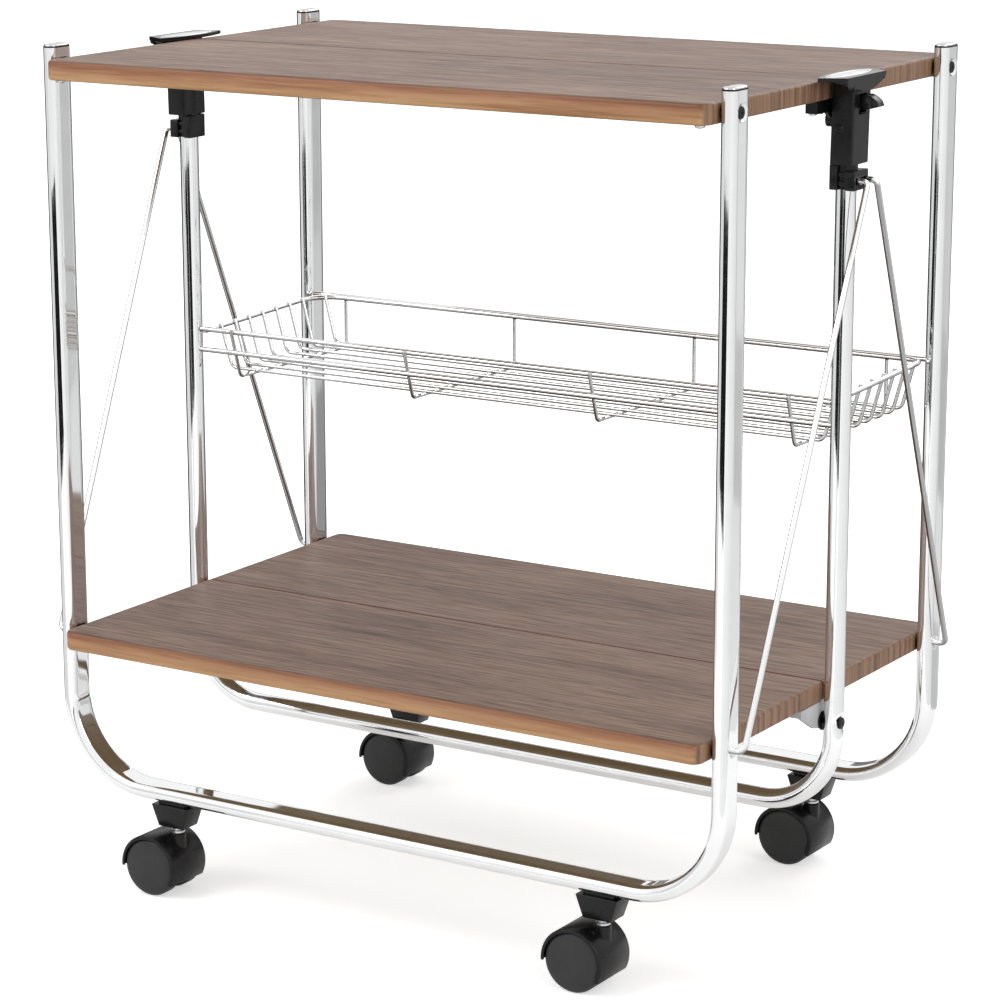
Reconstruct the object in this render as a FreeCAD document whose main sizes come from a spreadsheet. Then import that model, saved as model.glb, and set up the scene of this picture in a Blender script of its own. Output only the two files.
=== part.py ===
"""Folding serving trolley: two shelves that fold in half, a wire basket and twin-wheel castors.

Millimetres, +Z up, X along the length, -Y towards the front. The origin is on the floor
under the middle of the trolley.
"""
import FreeCAD, Part
import math
import os
import re

import Sketcher

Vector = FreeCAD.Vector
doc = FreeCAD.newDocument("serving_trolley")

# Driving sizes
SIZES = {
    "board_length": 604,
    "board_depth": 405,
    "board_end_gap": 1.5,
    "post_inset_y": 26.5,
    "oval_depth": 26,
    "oval_width": 13,
    "tube_wall": 1.3,
    "outer_bar_height": 87,
    "outer_bend": 75,
    "post_rise": 8,
    "middle_step": 2,
    "middle_tube": 16,
    "middle_bar_height": 115,
    "middle_bend": 62,
    "middle_top_drop": 2,
    "cap_height": 3.8,
    "cap_round": 3.2,
    "cap_plug": 12,
    "board_seam": 1,
    "board_thickness": 16,
    "board_corner": 9,
    "board_top_round": 3,
    "board_bottom_round": 2,
    "board_seam_round": 0.8,
    "top_shelf_height": 694,
    "lower_shelf_height": 220,
    "pivot_drop": 24,
    "pin_diameter": 5,
    "pin_depth": 12,
    "pin_play": 0.05,
    "running_gap": 0.3,
    "spacer_diameter": 17,
    "screw_head": 9.5,
    "screw_head_height": 2.2,
    "screw_head_round": 1.6,
    "ear_thickness": 3,
    "bracket_width": 10,
    "bracket_length": 22,
    "bracket_start": 9,
    "bracket_height": 9,
    "ear_radius": 5.6,
    "lower_bracket_length": 37,
    "lower_bracket_lip": 6,
    "lower_ear_radius": 7,
    "lower_bracket_toe": 14,
    "washer_thickness": 0.9,
    "washer_diameter": 16,
    "wood_screw": 3,
    "wood_screw_head": 6.4,
    "wood_screw_head_height": 1.8,
    "wood_screw_head_round": 1.2,
    "wood_screw_grip": 8,
    "stud_inset_x": 10,
    "stud_inset_y": 8.5,
    "stud_diameter": 8,
    "stud_height": 2.6,
    "stud_round": 2,
    "housing_inner": 8.7,
    "housing_outer": 14,
    "housing_depth": 30,
    "housing_length": 55,
    "housing_top_drop": 9.5,
    "housing_round": 3,
    "housing_screw_drop": 27.5,
    "housing_screw_head": 5.6,
    "lever_slot_width": 21,
    "lever_slot_height": 15,
    "lever_slot_margin": 1,
    "lever_slot_depth": 5.6,
    "lever_width": 20,
    "lever_reach": 16.5,
    "lever_thickness": 2,
    "lever_drop": 12,
    "lever_pin": 2.4,
    "lever_pin_inset": 3.2,
    "spring_thickness": 0.5,
    "spring_width": 8,
    "pad_thickness": 3.1,
    "pad_inner_reach": 12.8,
    "pad_outer_reach": 17,
    "pad_inner_length": 50,
    "pad_outer_length": 80,
    "pad_round": 1.2,
    "pad_corner": 3,
    "pad_lip": 10,
    "pad_lip_thickness": 2.4,
    "pad_neck_width": 22,
    "insert_length": 66,
    "insert_width": 17,
    "insert_thickness": 1.2,
    "insert_proud": 0.4,
    "slider_sleeve": 20.8,
    "slider_bore_play": 0.35,
    "slider_height": 18,
    "slider_drop": 10.5,
    "slider_plate_inner": 11,
    "slider_plate_outer": 15,
    "slider_plate_width": 26,
    "slider_web": 3,
    "slider_web_gap": 9,
    "strut_wire": 5,
    "strut_foot_gap": 9.5,
    "strut_head_gap": 5,
    "strut_head_spacing": 18,
    "strut_foot_bend": 6,
    "strut_head_bend": 4,
    "rail_wire": 5.3,
    "thin_wire": 3.8,
    "weld_gap": 0.05,
    "rear_rail_height": 450,
    "front_wire_rise": 18,
    "side_rail_inset": 10,
    "side_rail_bend": 30,
    "basket_depth": 42,
    "basket_wall_lean": 9,
    "long_wire_first": 21.5,
    "long_wire_last": 11.7,
    "long_wire_bend": 7,
    "hook_reach": 1.5,
    "cross_wire_pitch": 179,
    "cross_wire_front": 11.5,
    "cross_wire_bend": 5,
    "castor_inset": 104,
    "wheel_diameter": 50,
    "wheel_width": 14.4,
    "castor_width": 46,
    "castor_trail": 16,
    "wheel_face_bulge": 1.2,
    "wheel_edge_round": 1.5,
    "axle_diameter": 5,
    "hood_gap": 0.8,
    "hood_thickness": 1.6,
    "hood_lip": 2.2,
    "hood_web": 13.6,
    "hood_boss": 13.4,
    "hood_hub": 18,
    "hood_boss_gap": 4,
    "stem_diameter": 8,
    "stem_collar": 12,
    "stem_collar_height": 1.5,
    "stem_foot": 16,
    "socket_length": 37,
    "socket_depth": 24,
    "socket_foot_length": 25.5,
    "socket_foot_depth": 20,
    "socket_height": 21,
    "socket_neck": 2,
    "socket_neck_length": 26,
    "socket_neck_depth": 18,
    "socket_bore_depth": 16,
    "overrun": 5,
}

# Shares of a size, without a unit
SHARES = {
    "bracket_near_share": 0.25,
    "bracket_far_share": 0.75,
    "bracket_slope_share": 0.25,
    "ear_chin_share": 0.75,
    "lever_waist_share": 0.62,
    "lever_hollow_share": 0.54,
    "lever_heel_share": 0.6,
    "lever_tip_share": 0.1,
    "lever_crown_share": 0.75,
    "lever_eye_share": 0.75,
    "hook_bend_share": 1.3,
}

# Sizes that follow from the driving ones
TERMS = {
    "board_end": "board_length / 2",
    "board_edge_y": "board_depth / 2",
    "post_inner_x": "board_end + board_end_gap",
    "post_x": "post_inner_x + oval_width / 2",
    "post_outer_x": "post_inner_x + oval_width",
    "post_y": "board_edge_y - post_inset_y",
    "post_top": "top_shelf_height + post_rise",
    "bar_underside": "outer_bar_height - oval_width / 2",
    "middle_x": "post_x + middle_step",
    "middle_inner_x": "middle_x - middle_tube / 2",
    "middle_outer_x": "middle_x + middle_tube / 2",
    "middle_top": "top_shelf_height - middle_top_drop",
    "seam_y": "board_seam / 2",
    "top_pivot_z": "top_shelf_height - board_thickness / 2",
    "top_hinge_z": "top_pivot_z - pivot_drop",
    "lower_pivot_z": "lower_shelf_height - board_thickness / 2",
    "lower_hinge_z": "lower_pivot_z - pivot_drop",
    "underside_drop": "board_thickness / 2 - pivot_drop",
    "pin_hole": "pin_diameter / 2 + pin_play",
    "front_ear_face_x": "board_end",
    "rear_ear_face_x": "front_ear_face_x - ear_thickness - running_gap",
    "hinge_tip_x": "rear_ear_face_x - ear_thickness - running_gap",
    "washer_x": "board_end + running_gap",
    "housing_in_x": "middle_x - housing_inner",
    "housing_out_x": "middle_x + housing_outer",
    "housing_top": "top_shelf_height - housing_top_drop",
    "housing_bottom": "housing_top - housing_length",
    "housing_screw_height": "housing_top - housing_screw_drop",
    "lever_pin_x": "housing_out_x - lever_pin_inset",
    "lever_slot_top": "housing_top - lever_slot_margin",
    "lever_slot_bottom": "lever_slot_top - lever_slot_height",
    "lever_pin_z": "(lever_slot_top + lever_slot_bottom) / 2",
    "half_lever_rise": "lever_slot_height / 2 - lever_thickness - 2 * running_gap",
    "pad_bottom": "top_shelf_height + running_gap + pin_play",
    "pad_top": "pad_bottom + pad_thickness",
    "slider_pivot_height": "housing_bottom - slider_drop",
    "slider_bottom": "slider_pivot_height - slider_height / 2",
    "slider_top": "slider_pivot_height + slider_height / 2",
    "plate_in_x": "middle_x + slider_plate_inner",
    "plate_out_x": "middle_x + slider_plate_outer",
    "strut_head_y": "strut_head_spacing / 2",
    "strut_tip_x": "plate_out_x + running_gap",
    "strut_head_x": "plate_out_x + strut_head_gap",
    "strut_foot_x": "post_outer_x + strut_foot_gap",
    "basket_pivot_z": "rear_rail_height - pivot_drop",
    "side_rail_x": "post_x - side_rail_inset",
    "front_wire_z": "basket_pivot_z + front_wire_rise",
    "side_rail_front_z": "front_wire_z - rail_wire - weld_gap",
    "side_rail_rear_z": "rear_rail_height - rail_wire - weld_gap",
    "thin_radius": "thin_wire / 2",
    "rail_radius": "rail_wire / 2",
    "basket_floor": "rear_rail_height - basket_depth",
    "cross_wire_z": "basket_floor - thin_wire - weld_gap",
    "castor_x": "post_x - castor_inset",
    "wheel_radius": "wheel_diameter / 2",
    "wheel_out_y": "castor_width / 2 - hood_thickness / 2 - running_gap",
    "wheel_in_y": "wheel_out_y - wheel_width",
    "hood_inner": "wheel_radius + hood_gap",
    "hood_outer": "hood_inner + hood_thickness",
    "socket_bottom": "bar_underside - socket_height",
    "hood_boss_top": "socket_bottom - hood_boss_gap",
    "stem_top": "socket_bottom + socket_bore_depth - running_gap",
}

sheet = doc.addObject("Spreadsheet::Sheet", "Sizes")
for row, (alias, value) in enumerate({**SIZES, **SHARES}.items(), start=1):
    sheet.set(f"A{row}", alias)
    sheet.set(f"B{row}", str(value))
    sheet.setAlias(f"B{row}", alias)
doc.recompute()


def formula(text):
    """Write a sum of named sizes as an expression on the cells."""
    def swap(match):
        word = match.group(0)
        if word in TERMS:
            return f"({formula(TERMS[word])})"
        return f"Sizes.{word}" if word in SIZES or word in SHARES else word
    return re.sub(r"[a-z][a-z_]+", swap, text)


def size(text):
    """Work out a sum of named sizes in millimetres."""
    return float(sheet.evalExpression(formula(text)))


def bind(item, texts):
    """Tie properties or named constraints of an object to sums of named sizes."""
    for path, text in texts.items():
        item.setExpression(path, formula(text))


def place(item, x="0", y="0", z="0"):
    """Tie an object's place."""
    bind(item, {"Placement.Base.x": x, "Placement.Base.y": y, "Placement.Base.z": z})


def minus(text):
    return f"-({text})"


# Axis directions of round solids
ALONG = {
    "x": FreeCAD.Rotation(Vector(0, 1, 0), 90),
    "-x": FreeCAD.Rotation(Vector(0, 1, 0), -90),
    "y": FreeCAD.Rotation(Vector(1, 0, 0), -90),
    "-y": FreeCAD.Rotation(Vector(1, 0, 0), 90),
    "z": FreeCAD.Rotation(),
    "-z": FreeCAD.Rotation(Vector(1, 0, 0), 180),
}


def block(name, x, y, z):
    """Box between two places along each axis."""
    box = doc.addObject("Part::Box", name)
    bind(box, {
        "Length": f"{x[1]} - ({x[0]})",
        "Width": f"{y[1]} - ({y[0]})",
        "Height": f"{z[1]} - ({z[0]})",
    })
    place(box, x[0], y[0], z[0])
    return box


def cylinder(name, along, start, length, radius, turn=0, sweep=360):
    """Round solid from a start point, with an optional sector."""
    solid = doc.addObject("Part::Cylinder", name)
    rotation = ALONG[along].multiply(FreeCAD.Rotation(Vector(0, 0, 1), turn))
    solid.Placement = FreeCAD.Placement(Vector(), rotation)
    solid.Angle = sweep
    bind(solid, {"Radius": radius, "Height": length})
    place(solid, *start)
    return solid


def fuse(name, *solids):
    joined = doc.addObject("Part::MultiFuse", name)
    joined.Shapes = list(solids)
    return joined


def cut(name, base, *tools):
    """Take one or more solids away from a base."""
    result = doc.addObject("Part::Cut", name)
    result.Base = base
    result.Tool = tools[0] if len(tools) == 1 else fuse(f"{name}_tools", *tools)
    return result


def mirrored(name, source):
    """Copy of a solid on the other side of the trolley's middle."""
    copy = doc.addObject("Part::Mirroring", name)
    copy.Source = source
    copy.Normal = Vector(1, 0, 0)
    return copy


NODES = []


def node(label, *solids):
    """Name a finished sub-part; several like solids share one node."""
    item = solids[0]
    if len(solids) > 1:
        item = doc.addObject("Part::Compound", label)
        item.Links = list(solids)
    item.Label = label
    NODES.append(item)
    return item


def pair(label, solid):
    """A solid and its mirror image at the other end of the trolley."""
    return node(label, solid, mirrored(f"{label}_other", solid))


def origin_plane(body, role):
    return next(item for item in body.Origin.OriginFeatures if item.Role == role)


def new_body(name, x="0", y="0", z="0", along="z"):
    body = doc.addObject("PartDesign::Body", name)
    body.Placement = FreeCAD.Placement(Vector(), ALONG[along])
    place(body, x, y, z)
    return body


def new_sketch(body, plane, offset="0"):
    sketch = body.newObject("Sketcher::SketchObject", f"{body.Name}_sketch")
    sketch.AttachmentSupport = [(origin_plane(body, plane), "")]
    sketch.MapMode = "FlatFace"
    bind(sketch, {"AttachmentOffset.Base.z": offset})
    return sketch


def pin_point(sketch, geometry, corner, x, y):
    """Tie a sketch point to named places along the sketch's two axes."""
    for axis, text in (("X", x), ("Y", y)):
        if text == "0":
            line = -2 if axis == "X" else -1
            sketch.addConstraint(Sketcher.Constraint("PointOnObject", geometry, corner, line))
            continue
        index = sketch.addConstraint(
            Sketcher.Constraint(f"Distance{axis}", -1, 1, geometry, corner, size(text)))
        bind(sketch, {f"Constraints[{index}]": text})


def draw_outline(sketch, points):
    """Closed outline through points given in named sizes."""
    places = [Vector(size(x), size(y), 0) for x, y in points]
    first = sketch.GeometryCount
    count = len(places)
    for index in range(count):
        sketch.addGeometry(Part.LineSegment(places[index], places[(index + 1) % count]))
    for index in range(count):
        following = first + (index + 1) % count
        sketch.addConstraint(Sketcher.Constraint("Coincident", first + index, 2, following, 1))
    for index, (x, y) in enumerate(points):
        pin_point(sketch, first + index, 1, x, y)


def draw_circle(sketch, x, y, radius):
    circle = Part.Circle(Vector(size(x), size(y), 0), Vector(0, 0, 1), size(radius))
    geometry = sketch.addGeometry(circle)
    pin_point(sketch, geometry, 3, x, y)
    index = sketch.addConstraint(Sketcher.Constraint("Radius", geometry, size(radius)))
    bind(sketch, {f"Constraints[{index}]": radius})


def draw_slot(sketch, x, half_length, radius, y="0"):
    """Slot along the sketch's second axis, with round ends."""
    up = Vector(0, 0, 1)
    across, reach, round_size = size(x), size(half_length), size(radius)
    centre = size(y)
    first = sketch.GeometryCount
    for sign, start in ((1, 0), (-1, math.pi)):
        circle = Part.Circle(Vector(across, centre + sign * reach, 0), up, round_size)
        sketch.addGeometry(Part.ArcOfCircle(circle, start, start + math.pi))
    sides = ((-round_size, reach, -reach), (round_size, -reach, reach))
    for side, start, end in sides:
        sketch.addGeometry(Part.LineSegment(
            Vector(across + side, centre + start, 0), Vector(across + side, centre + end, 0)))
    joints = ((0, 2, 2, 1), (2, 2, 1, 1), (1, 2, 3, 1), (3, 2, 0, 1))
    for one, end, other, start in joints:
        sketch.addConstraint(Sketcher.Constraint("Tangent", first + one, end, first + other, start))
    for arc, text in ((0, f"{y} + {half_length}"), (1, f"{y} - ({half_length})")):
        pin_point(sketch, first + arc, 3, x, text)
    index = sketch.addConstraint(Sketcher.Constraint("Radius", first, size(radius)))
    bind(sketch, {f"Constraints[{index}]": radius})


def pad(body, sketch, length, midplane=False, reverse=False):
    feature = body.newObject("PartDesign::Pad", f"{body.Name}_pad")
    feature.Profile = sketch
    feature.Midplane = midplane
    feature.Reversed = reverse
    bind(feature, {"Length": length})
    doc.recompute()
    return feature


def pocket(body, sketch, length, midplane=False, reverse=False):
    feature = body.newObject("PartDesign::Pocket", f"{body.Name}_pocket")
    feature.Profile = sketch
    feature.Midplane = midplane
    feature.Reversed = reverse
    bind(feature, {"Length": length})
    doc.recompute()
    return feature


def round_edges(body, wanted, radius):
    """Fillet the edges of a body's tip whose centre passes a test."""
    base = body.Tip
    names = [f"Edge{index}" for index, edge in enumerate(base.Shape.Edges, start=1) if wanted(edge)]
    fillet = body.newObject("PartDesign::Fillet", f"{body.Name}_round")
    fillet.Base = (base, names)
    bind(fillet, {"Radius": radius})
    doc.recompute()
    return fillet


def at(value, text):
    """True where a coordinate lies at a named place."""
    return abs(value - size(text)) < size("pin_play")


def turned(name, along, start, points):
    """Solid of revolution about its own axis, from an outline of (radius, height)."""
    body = new_body(name, *start, along=along)
    sketch = new_sketch(body, "XZ_Plane")
    draw_outline(sketch, points)
    feature = body.newObject("PartDesign::Revolution", f"{name}_turned")
    feature.Profile = sketch
    feature.ReferenceAxis = (sketch, ["V_Axis"])
    doc.recompute()
    return body


def screw(name, along, start, shank, length, head, height, dome):
    """Round-headed screw: the head's flat face is at the start, the shank runs on from it."""
    body = turned(name, along, start, [
        ("0", minus(height)), (f"{head} / 2", minus(height)), (f"{head} / 2", "0"),
        (f"{shank} / 2", "0"), (f"{shank} / 2", length), ("0", length),
    ])
    rim = size(head) / 2
    top = -size(height)

    def on_rim(edge):
        box = edge.BoundBox
        local_radius = max(box.XLength, box.YLength, box.ZLength) / 2
        return abs(local_radius - rim) < size("pin_play") and edge.Curve.TypeId == "Part::GeomCircle" \
            and abs((edge.Curve.Center - Vector(0, 0, top)).Length) < size("pin_play")
    round_edges(body, on_rim, dome)
    return body


def ring(name, along, start, outer, bore, thickness):
    """Flat washer or spacer."""
    return turned(name, along, start, [
        (bore, "0"), (f"{outer} / 2", "0"), (f"{outer} / 2", thickness), (bore, thickness),
    ])


def rod(name, points, diameter, bends):
    """Bent wire: straight runs through points, joined by tangent arcs."""
    corners = [Vector(*(size(part) for part in point)) for point in points]
    edges = []
    start = corners[0]
    for index in range(1, len(corners) - 1):
        corner = corners[index]
        before = (corners[index - 1] - corner).normalize()
        after = (corners[index + 1] - corner).normalize()
        half_turn = (math.pi - before.getAngle(after)) / 2
        radius = size(bends[index - 1])
        reach = radius * math.tan(half_turn)
        enter = corner + before * reach
        leave = corner + after * reach
        inward = (before + after).normalize()
        middle = corner + inward * (radius / math.cos(half_turn) - radius)
        edges.append(Part.LineSegment(start, enter).toShape())
        edges.append(Part.Arc(enter, middle, leave).toShape())
        start = leave
    edges.append(Part.LineSegment(start, corners[-1]).toShape())
    path = Part.Wire(edges)
    direction = edges[0].tangentAt(edges[0].FirstParameter)
    circle = Part.Circle(corners[0], direction, size(diameter) / 2)
    section = Part.Wire([circle.toShape()])
    item = doc.addObject("Part::Feature", name)
    item.Shape = path.makePipeShell([section], True, False)
    item.Placement = FreeCAD.Placement()
    return item


# Bent tube frames
def frame_tube(label, half_spacing, y, top, bar_height, bend, draw_section):
    """U of tube: two posts and a floor bar in one bent piece, drawn down from the post tops."""
    body = new_body(label, y=y, z=top)
    section = new_sketch(body, "XY_Plane")
    draw_section(section)
    path = new_sketch(body, "XZ_Plane")
    spread = size(half_spacing)
    radius = size(bend)
    low = size(f"{bar_height} - ({top})")
    up = Vector(0, 0, 1)
    left_bend = Part.Circle(Vector(radius - spread, low + radius, 0), up, radius)
    right_bend = Part.Circle(Vector(spread - radius, low + radius, 0), up, radius)
    quarter = math.pi / 2
    path.addGeometry(Part.LineSegment(Vector(-spread, 0, 0), Vector(-spread, low + radius, 0)))
    path.addGeometry(Part.ArcOfCircle(left_bend, 2 * quarter, 3 * quarter))
    path.addGeometry(Part.LineSegment(Vector(radius - spread, low, 0), Vector(spread - radius, low, 0)))
    path.addGeometry(Part.ArcOfCircle(right_bend, 3 * quarter, 4 * quarter))
    path.addGeometry(Part.LineSegment(Vector(spread, low + radius, 0), Vector(spread, 0, 0)))
    for index in range(4):
        path.addConstraint(Sketcher.Constraint("Tangent", index, 2, index + 1, 1))
    path.addConstraint(Sketcher.Constraint("Horizontal", 2))
    path.addConstraint(Sketcher.Constraint("Equal", 1, 3))
    pin_point(path, 0, 1, minus(half_spacing), "0")
    pin_point(path, 4, 2, half_spacing, "0")
    sizes = (
        (Sketcher.Constraint("Radius", 1, radius), bend),
        (Sketcher.Constraint("DistanceY", -1, 1, 2, 1, low), f"{bar_height} - ({top})"),
    )
    for constraint, text in sizes:
        index = path.addConstraint(constraint)
        bind(path, {f"Constraints[{index}]": text})
    pipe = body.newObject("PartDesign::AdditivePipe", f"{label}_pipe")
    pipe.Profile = section
    pipe.Spine = path
    doc.recompute()
    return body


def cross_holes(body, top, heights, radius, reach):
    """Round holes through the posts along X, out to a named reach from the middle."""
    sketch = new_sketch(body, "YZ_Plane")
    for height in heights:
        draw_circle(sketch, "0", f"{height} - ({top})", radius)
    pocket(body, sketch, f"2 * ({reach})", midplane=True)


def oval_section(sketch):
    """Flat-oval tube wall at the left post."""
    flat = "(oval_depth - oval_width) / 2"
    draw_slot(sketch, minus("post_x"), flat, "oval_width / 2")
    draw_slot(sketch, minus("post_x"), flat, "oval_width / 2 - tube_wall")


def round_section(sketch):
    draw_circle(sketch, minus("middle_x"), "0", "middle_tube / 2")
    draw_circle(sketch, minus("middle_x"), "0", "middle_tube / 2 - tube_wall")


def outer_frame(side, y):
    """Front or rear frame with its caps, castor sockets, top pivot screws and spacers."""
    tube = frame_tube(
        f"{side}_frame_tube", "post_x", y, "post_top", "outer_bar_height", "outer_bend", oval_section)
    reach = "post_outer_x + overrun"
    cross_holes(tube, "post_top", ["top_pivot_z", "lower_pivot_z"], "pin_hole", reach)
    if side == "rear":
        hole = "rail_wire / 2 + 2 * pin_play"
        cross_holes(tube, "post_top", ["rear_rail_height"], hole, "post_x")
    node(f"{side}_frame_tube", tube)

    cap = new_body(f"{side}_cap", "post_x", y, "post_top")
    flat = "(oval_depth - oval_width) / 2"
    dome = new_sketch(cap, "XY_Plane")
    draw_slot(dome, "0", flat, "oval_width / 2")
    pad(cap, dome, "cap_height")
    round_edges(cap, lambda edge: at(edge.BoundBox.ZMin, "cap_height"), "cap_round")
    plug = new_sketch(cap, "XY_Plane")
    draw_slot(plug, "0", flat, "oval_width / 2 - tube_wall - pin_play")
    pad(cap, plug, "cap_plug", reverse=True)
    pair(f"{side}_end_caps", cap)

    socket = new_body(f"{side}_socket", "castor_x", y, "bar_underside")
    neck = new_sketch(socket, "XY_Plane")
    rectangle(neck, "socket_neck_length", "socket_neck_depth")
    pad(socket, neck, "socket_neck", reverse=True)
    upper = new_sketch(socket, "XY_Plane", minus("socket_neck"))
    rectangle(upper, "socket_length", "socket_depth")
    lower = new_sketch(socket, "XY_Plane", "socket_bottom - bar_underside")
    rectangle(lower, "socket_foot_length", "socket_foot_depth")
    loft = socket.newObject("PartDesign::AdditiveLoft", f"{side}_socket_loft")
    loft.Profile = upper
    loft.Sections = [lower]
    loft.Ruled = True
    doc.recompute()
    bore = new_sketch(socket, "XY_Plane", "socket_bottom - bar_underside")
    draw_circle(bore, "0", "0", "stem_diameter / 2 + pin_play")
    pocket(socket, bore, "socket_bore_depth", reverse=True)
    pair(f"{side}_castor_sockets", socket)

    pivot = screw(
        f"{side}_pivot", "-x", ("post_outer_x", y, "top_pivot_z"), "pin_diameter",
        "post_outer_x - board_end + pin_depth - running_gap",
        "screw_head", "screw_head_height", "screw_head_round")
    pair(f"{side}_pivot_screws", pivot)

    spacers = []
    for level in ("top", "lower"):
        spacer = ring(
            f"{side}_{level}_spacer", "-x", ("post_inner_x", y, f"{level}_pivot_z"),
            "spacer_diameter", "pin_hole", "post_inner_x - board_end - running_gap")
        spacers += [spacer, mirrored(f"{side}_{level}_spacer_other", spacer)]
    node(f"{side}_spacers", *spacers)


def rectangle(sketch, length, depth):
    """Rectangle about the sketch's middle."""
    half_x = f"{length} / 2"
    half_y = f"{depth} / 2"
    draw_outline(sketch, [
        (minus(half_x), minus(half_y)), (half_x, minus(half_y)),
        (half_x, half_y), (minus(half_x), half_y),
    ])


outer_frame("front", minus("post_y"))
outer_frame("rear", "post_y")


# Shelf boards, each shelf two leaves that meet at the seam
def board(level, side):
    """One leaf: rounded outer edges, pivot holes in its ends and screw holes underneath."""
    sign = "-" if side == "front" else ""
    label = f"{side}_{level}_board"
    body = new_body(label, z=f"{level}_pivot_z - board_thickness / 2")
    plan = new_sketch(body, "XY_Plane")
    edge_y = f"{sign}(board_edge_y)"
    near_y = f"{sign}(seam_y)"
    draw_outline(plan, [
        (minus("board_end"), edge_y), ("board_end", edge_y),
        ("board_end", near_y), (minus("board_end"), near_y),
    ])
    pad(body, plan, "board_thickness")

    def outer_corner(edge):
        box = edge.BoundBox
        return at(box.ZLength, "board_thickness") and at(box.YMin, edge_y)

    def rim(height):
        return lambda edge: (
            at(edge.BoundBox.ZMin, height) and at(edge.BoundBox.ZMax, height)
            and not at(edge.BoundBox.YLength + abs(edge.BoundBox.YMin), "seam_y"))

    def seam_edge(edge):
        box = edge.BoundBox
        return at(abs(box.YMin), "seam_y") and at(box.YLength, "0") and box.XLength > size("board_end")

    round_edges(body, outer_corner, "board_corner")
    round_edges(body, rim("board_thickness"), "board_top_round")
    round_edges(body, rim("0"), "board_bottom_round")
    round_edges(body, seam_edge, "board_seam_round")

    pivot_y = f"{sign}(post_y)"
    for end, reverse in ((minus("board_end"), False), ("board_end", True)):
        hole = new_sketch(body, "YZ_Plane", end)
        draw_circle(hole, pivot_y, "board_thickness / 2", "pin_hole")
        pocket(body, hole, "pin_depth + running_gap", reverse=not reverse)

    holes = new_sketch(body, "XY_Plane")
    for place_x, place_y in screw_places(side, level):
        for x in (place_x, minus(place_x)):
            draw_circle(holes, x, place_y, "wood_screw / 2 + pin_play")
    pocket(body, holes, "wood_screw_grip + running_gap", reverse=True)
    node(label, body)

    brackets(level, side, sign)


def screw_places(side, level):
    """Screws of a bracket, in X from the middle and Y."""
    sign = "-" if side == "front" else ""
    x = f"{side}_ear_face_x - (bracket_width + ear_thickness) / 2"
    spots = []
    for share in ("bracket_near_share", "bracket_far_share"):
        spots.append((x, f"{sign}(bracket_start + bracket_length * {share})"))
    if level == "top":
        spots.append(("board_end - stud_inset_x", f"{sign}(board_edge_y - stud_inset_y)"))
    return spots


def brackets(level, side, sign):
    """Hinge brackets under the seam, and the screws that hold them."""
    label = f"{side}_{level}_brackets"
    body = new_body(f"{side}_{level}_bracket", z=f"{level}_hinge_z")
    under = minus("underside_drop")
    foot_x = f"{side}_ear_face_x - bracket_width"
    ear_x = f"{side}_ear_face_x - ear_thickness"
    far = "bracket_start + bracket_length"
    foot_low = f"{under} - bracket_height"
    radius = "ear_radius"
    if level == "lower":
        far = "lower_bracket_length"
        foot_low = f"{under} - lower_bracket_lip"
        radius = "lower_ear_radius"
    foot = new_sketch(body, "YZ_Plane", foot_x)
    draw_outline(foot, [
        (f"{sign}({far})", under), (f"{sign}({far})", foot_low),
        (f"{sign}(bracket_start)", foot_low), (f"{sign}(bracket_start)", under),
    ])
    pad(body, foot, "bracket_width")
    plate = new_sketch(body, "YZ_Plane", ear_x)
    if level == "top":
        shape = [
            (f"{sign}(bracket_start + bracket_length / 2)", under),
            (f"{sign}(bracket_start + bracket_length * bracket_slope_share)", foot_low),
            (f"{sign}(ear_radius)", "0"), (f"{sign}(ear_radius / 2)", "ear_radius / 2"),
            (f"{sign}(bracket_start / 2)", under),
        ]
    else:
        shape = [
            (f"{sign}({far})", under), (f"{sign}({far})", foot_low),
            (f"{sign}(lower_bracket_toe)", minus("lower_ear_radius / 2")),
            (f"{sign}(lower_ear_radius / 2)", minus("lower_ear_radius * ear_chin_share")),
            (f"{sign}(lower_ear_radius * bracket_slope_share)", "lower_ear_radius / 2"),
            (f"{sign}(bracket_start * bracket_slope_share)", under),
        ]
    draw_outline(plate, shape)
    pad(body, plate, "ear_thickness")
    ear = new_sketch(body, "YZ_Plane", ear_x)
    draw_circle(ear, "0", "0", radius)
    pad(body, ear, "ear_thickness")
    hole = new_sketch(body, "YZ_Plane", ear_x)
    draw_circle(hole, "0", "0", "pin_hole")
    pocket(body, hole, "2 * ear_thickness + 2 * overrun", midplane=True)
    bores = new_sketch(body, "XY_Plane", foot_low)
    for x, y in screw_places(side, "lower"):
        draw_circle(bores, x, y, "wood_screw / 2 + pin_play")
    pocket(body, bores, "bracket_height", reverse=True)
    pair(label, body)

    screws = []
    for index, (x, y) in enumerate(screw_places(side, level)):
        name = f"{side}_{level}_screw_{index + 1}"
        if index < 2:
            seat = f"{level}_hinge_z + {foot_low}"
            fixing = screw(
                name, "z", (x, y, seat), "wood_screw", f"{under} - ({foot_low}) + wood_screw_grip",
                "wood_screw_head", "wood_screw_head_height", "wood_screw_head_round")
        else:
            fixing = screw(
                name, "z", (x, y, f"{level}_hinge_z + {under}"), "wood_screw", "wood_screw_grip",
                "stud_diameter", "stud_height", "stud_round")
        screws += [fixing, mirrored(f"{name}_other", fixing)]
    node(f"{side}_{level}_board_screws", *screws)


for level_name in ("top", "lower"):
    for side_name in ("front", "rear"):
        board(level_name, side_name)


# Middle frame, which carries both seams, the handles and the sliders
middle = frame_tube(
    "middle_frame_tube", "middle_x", "0", "middle_top", "middle_bar_height", "middle_bend", round_section)
cross_holes(
    middle, "middle_top", ["top_hinge_z", "lower_hinge_z"], "pin_hole", "middle_outer_x + overrun")
cross_holes(middle, "middle_top", ["basket_pivot_z"], "rail_wire / 2 + 2 * pin_play", "middle_x")
node("middle_frame_tube", middle)

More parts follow.
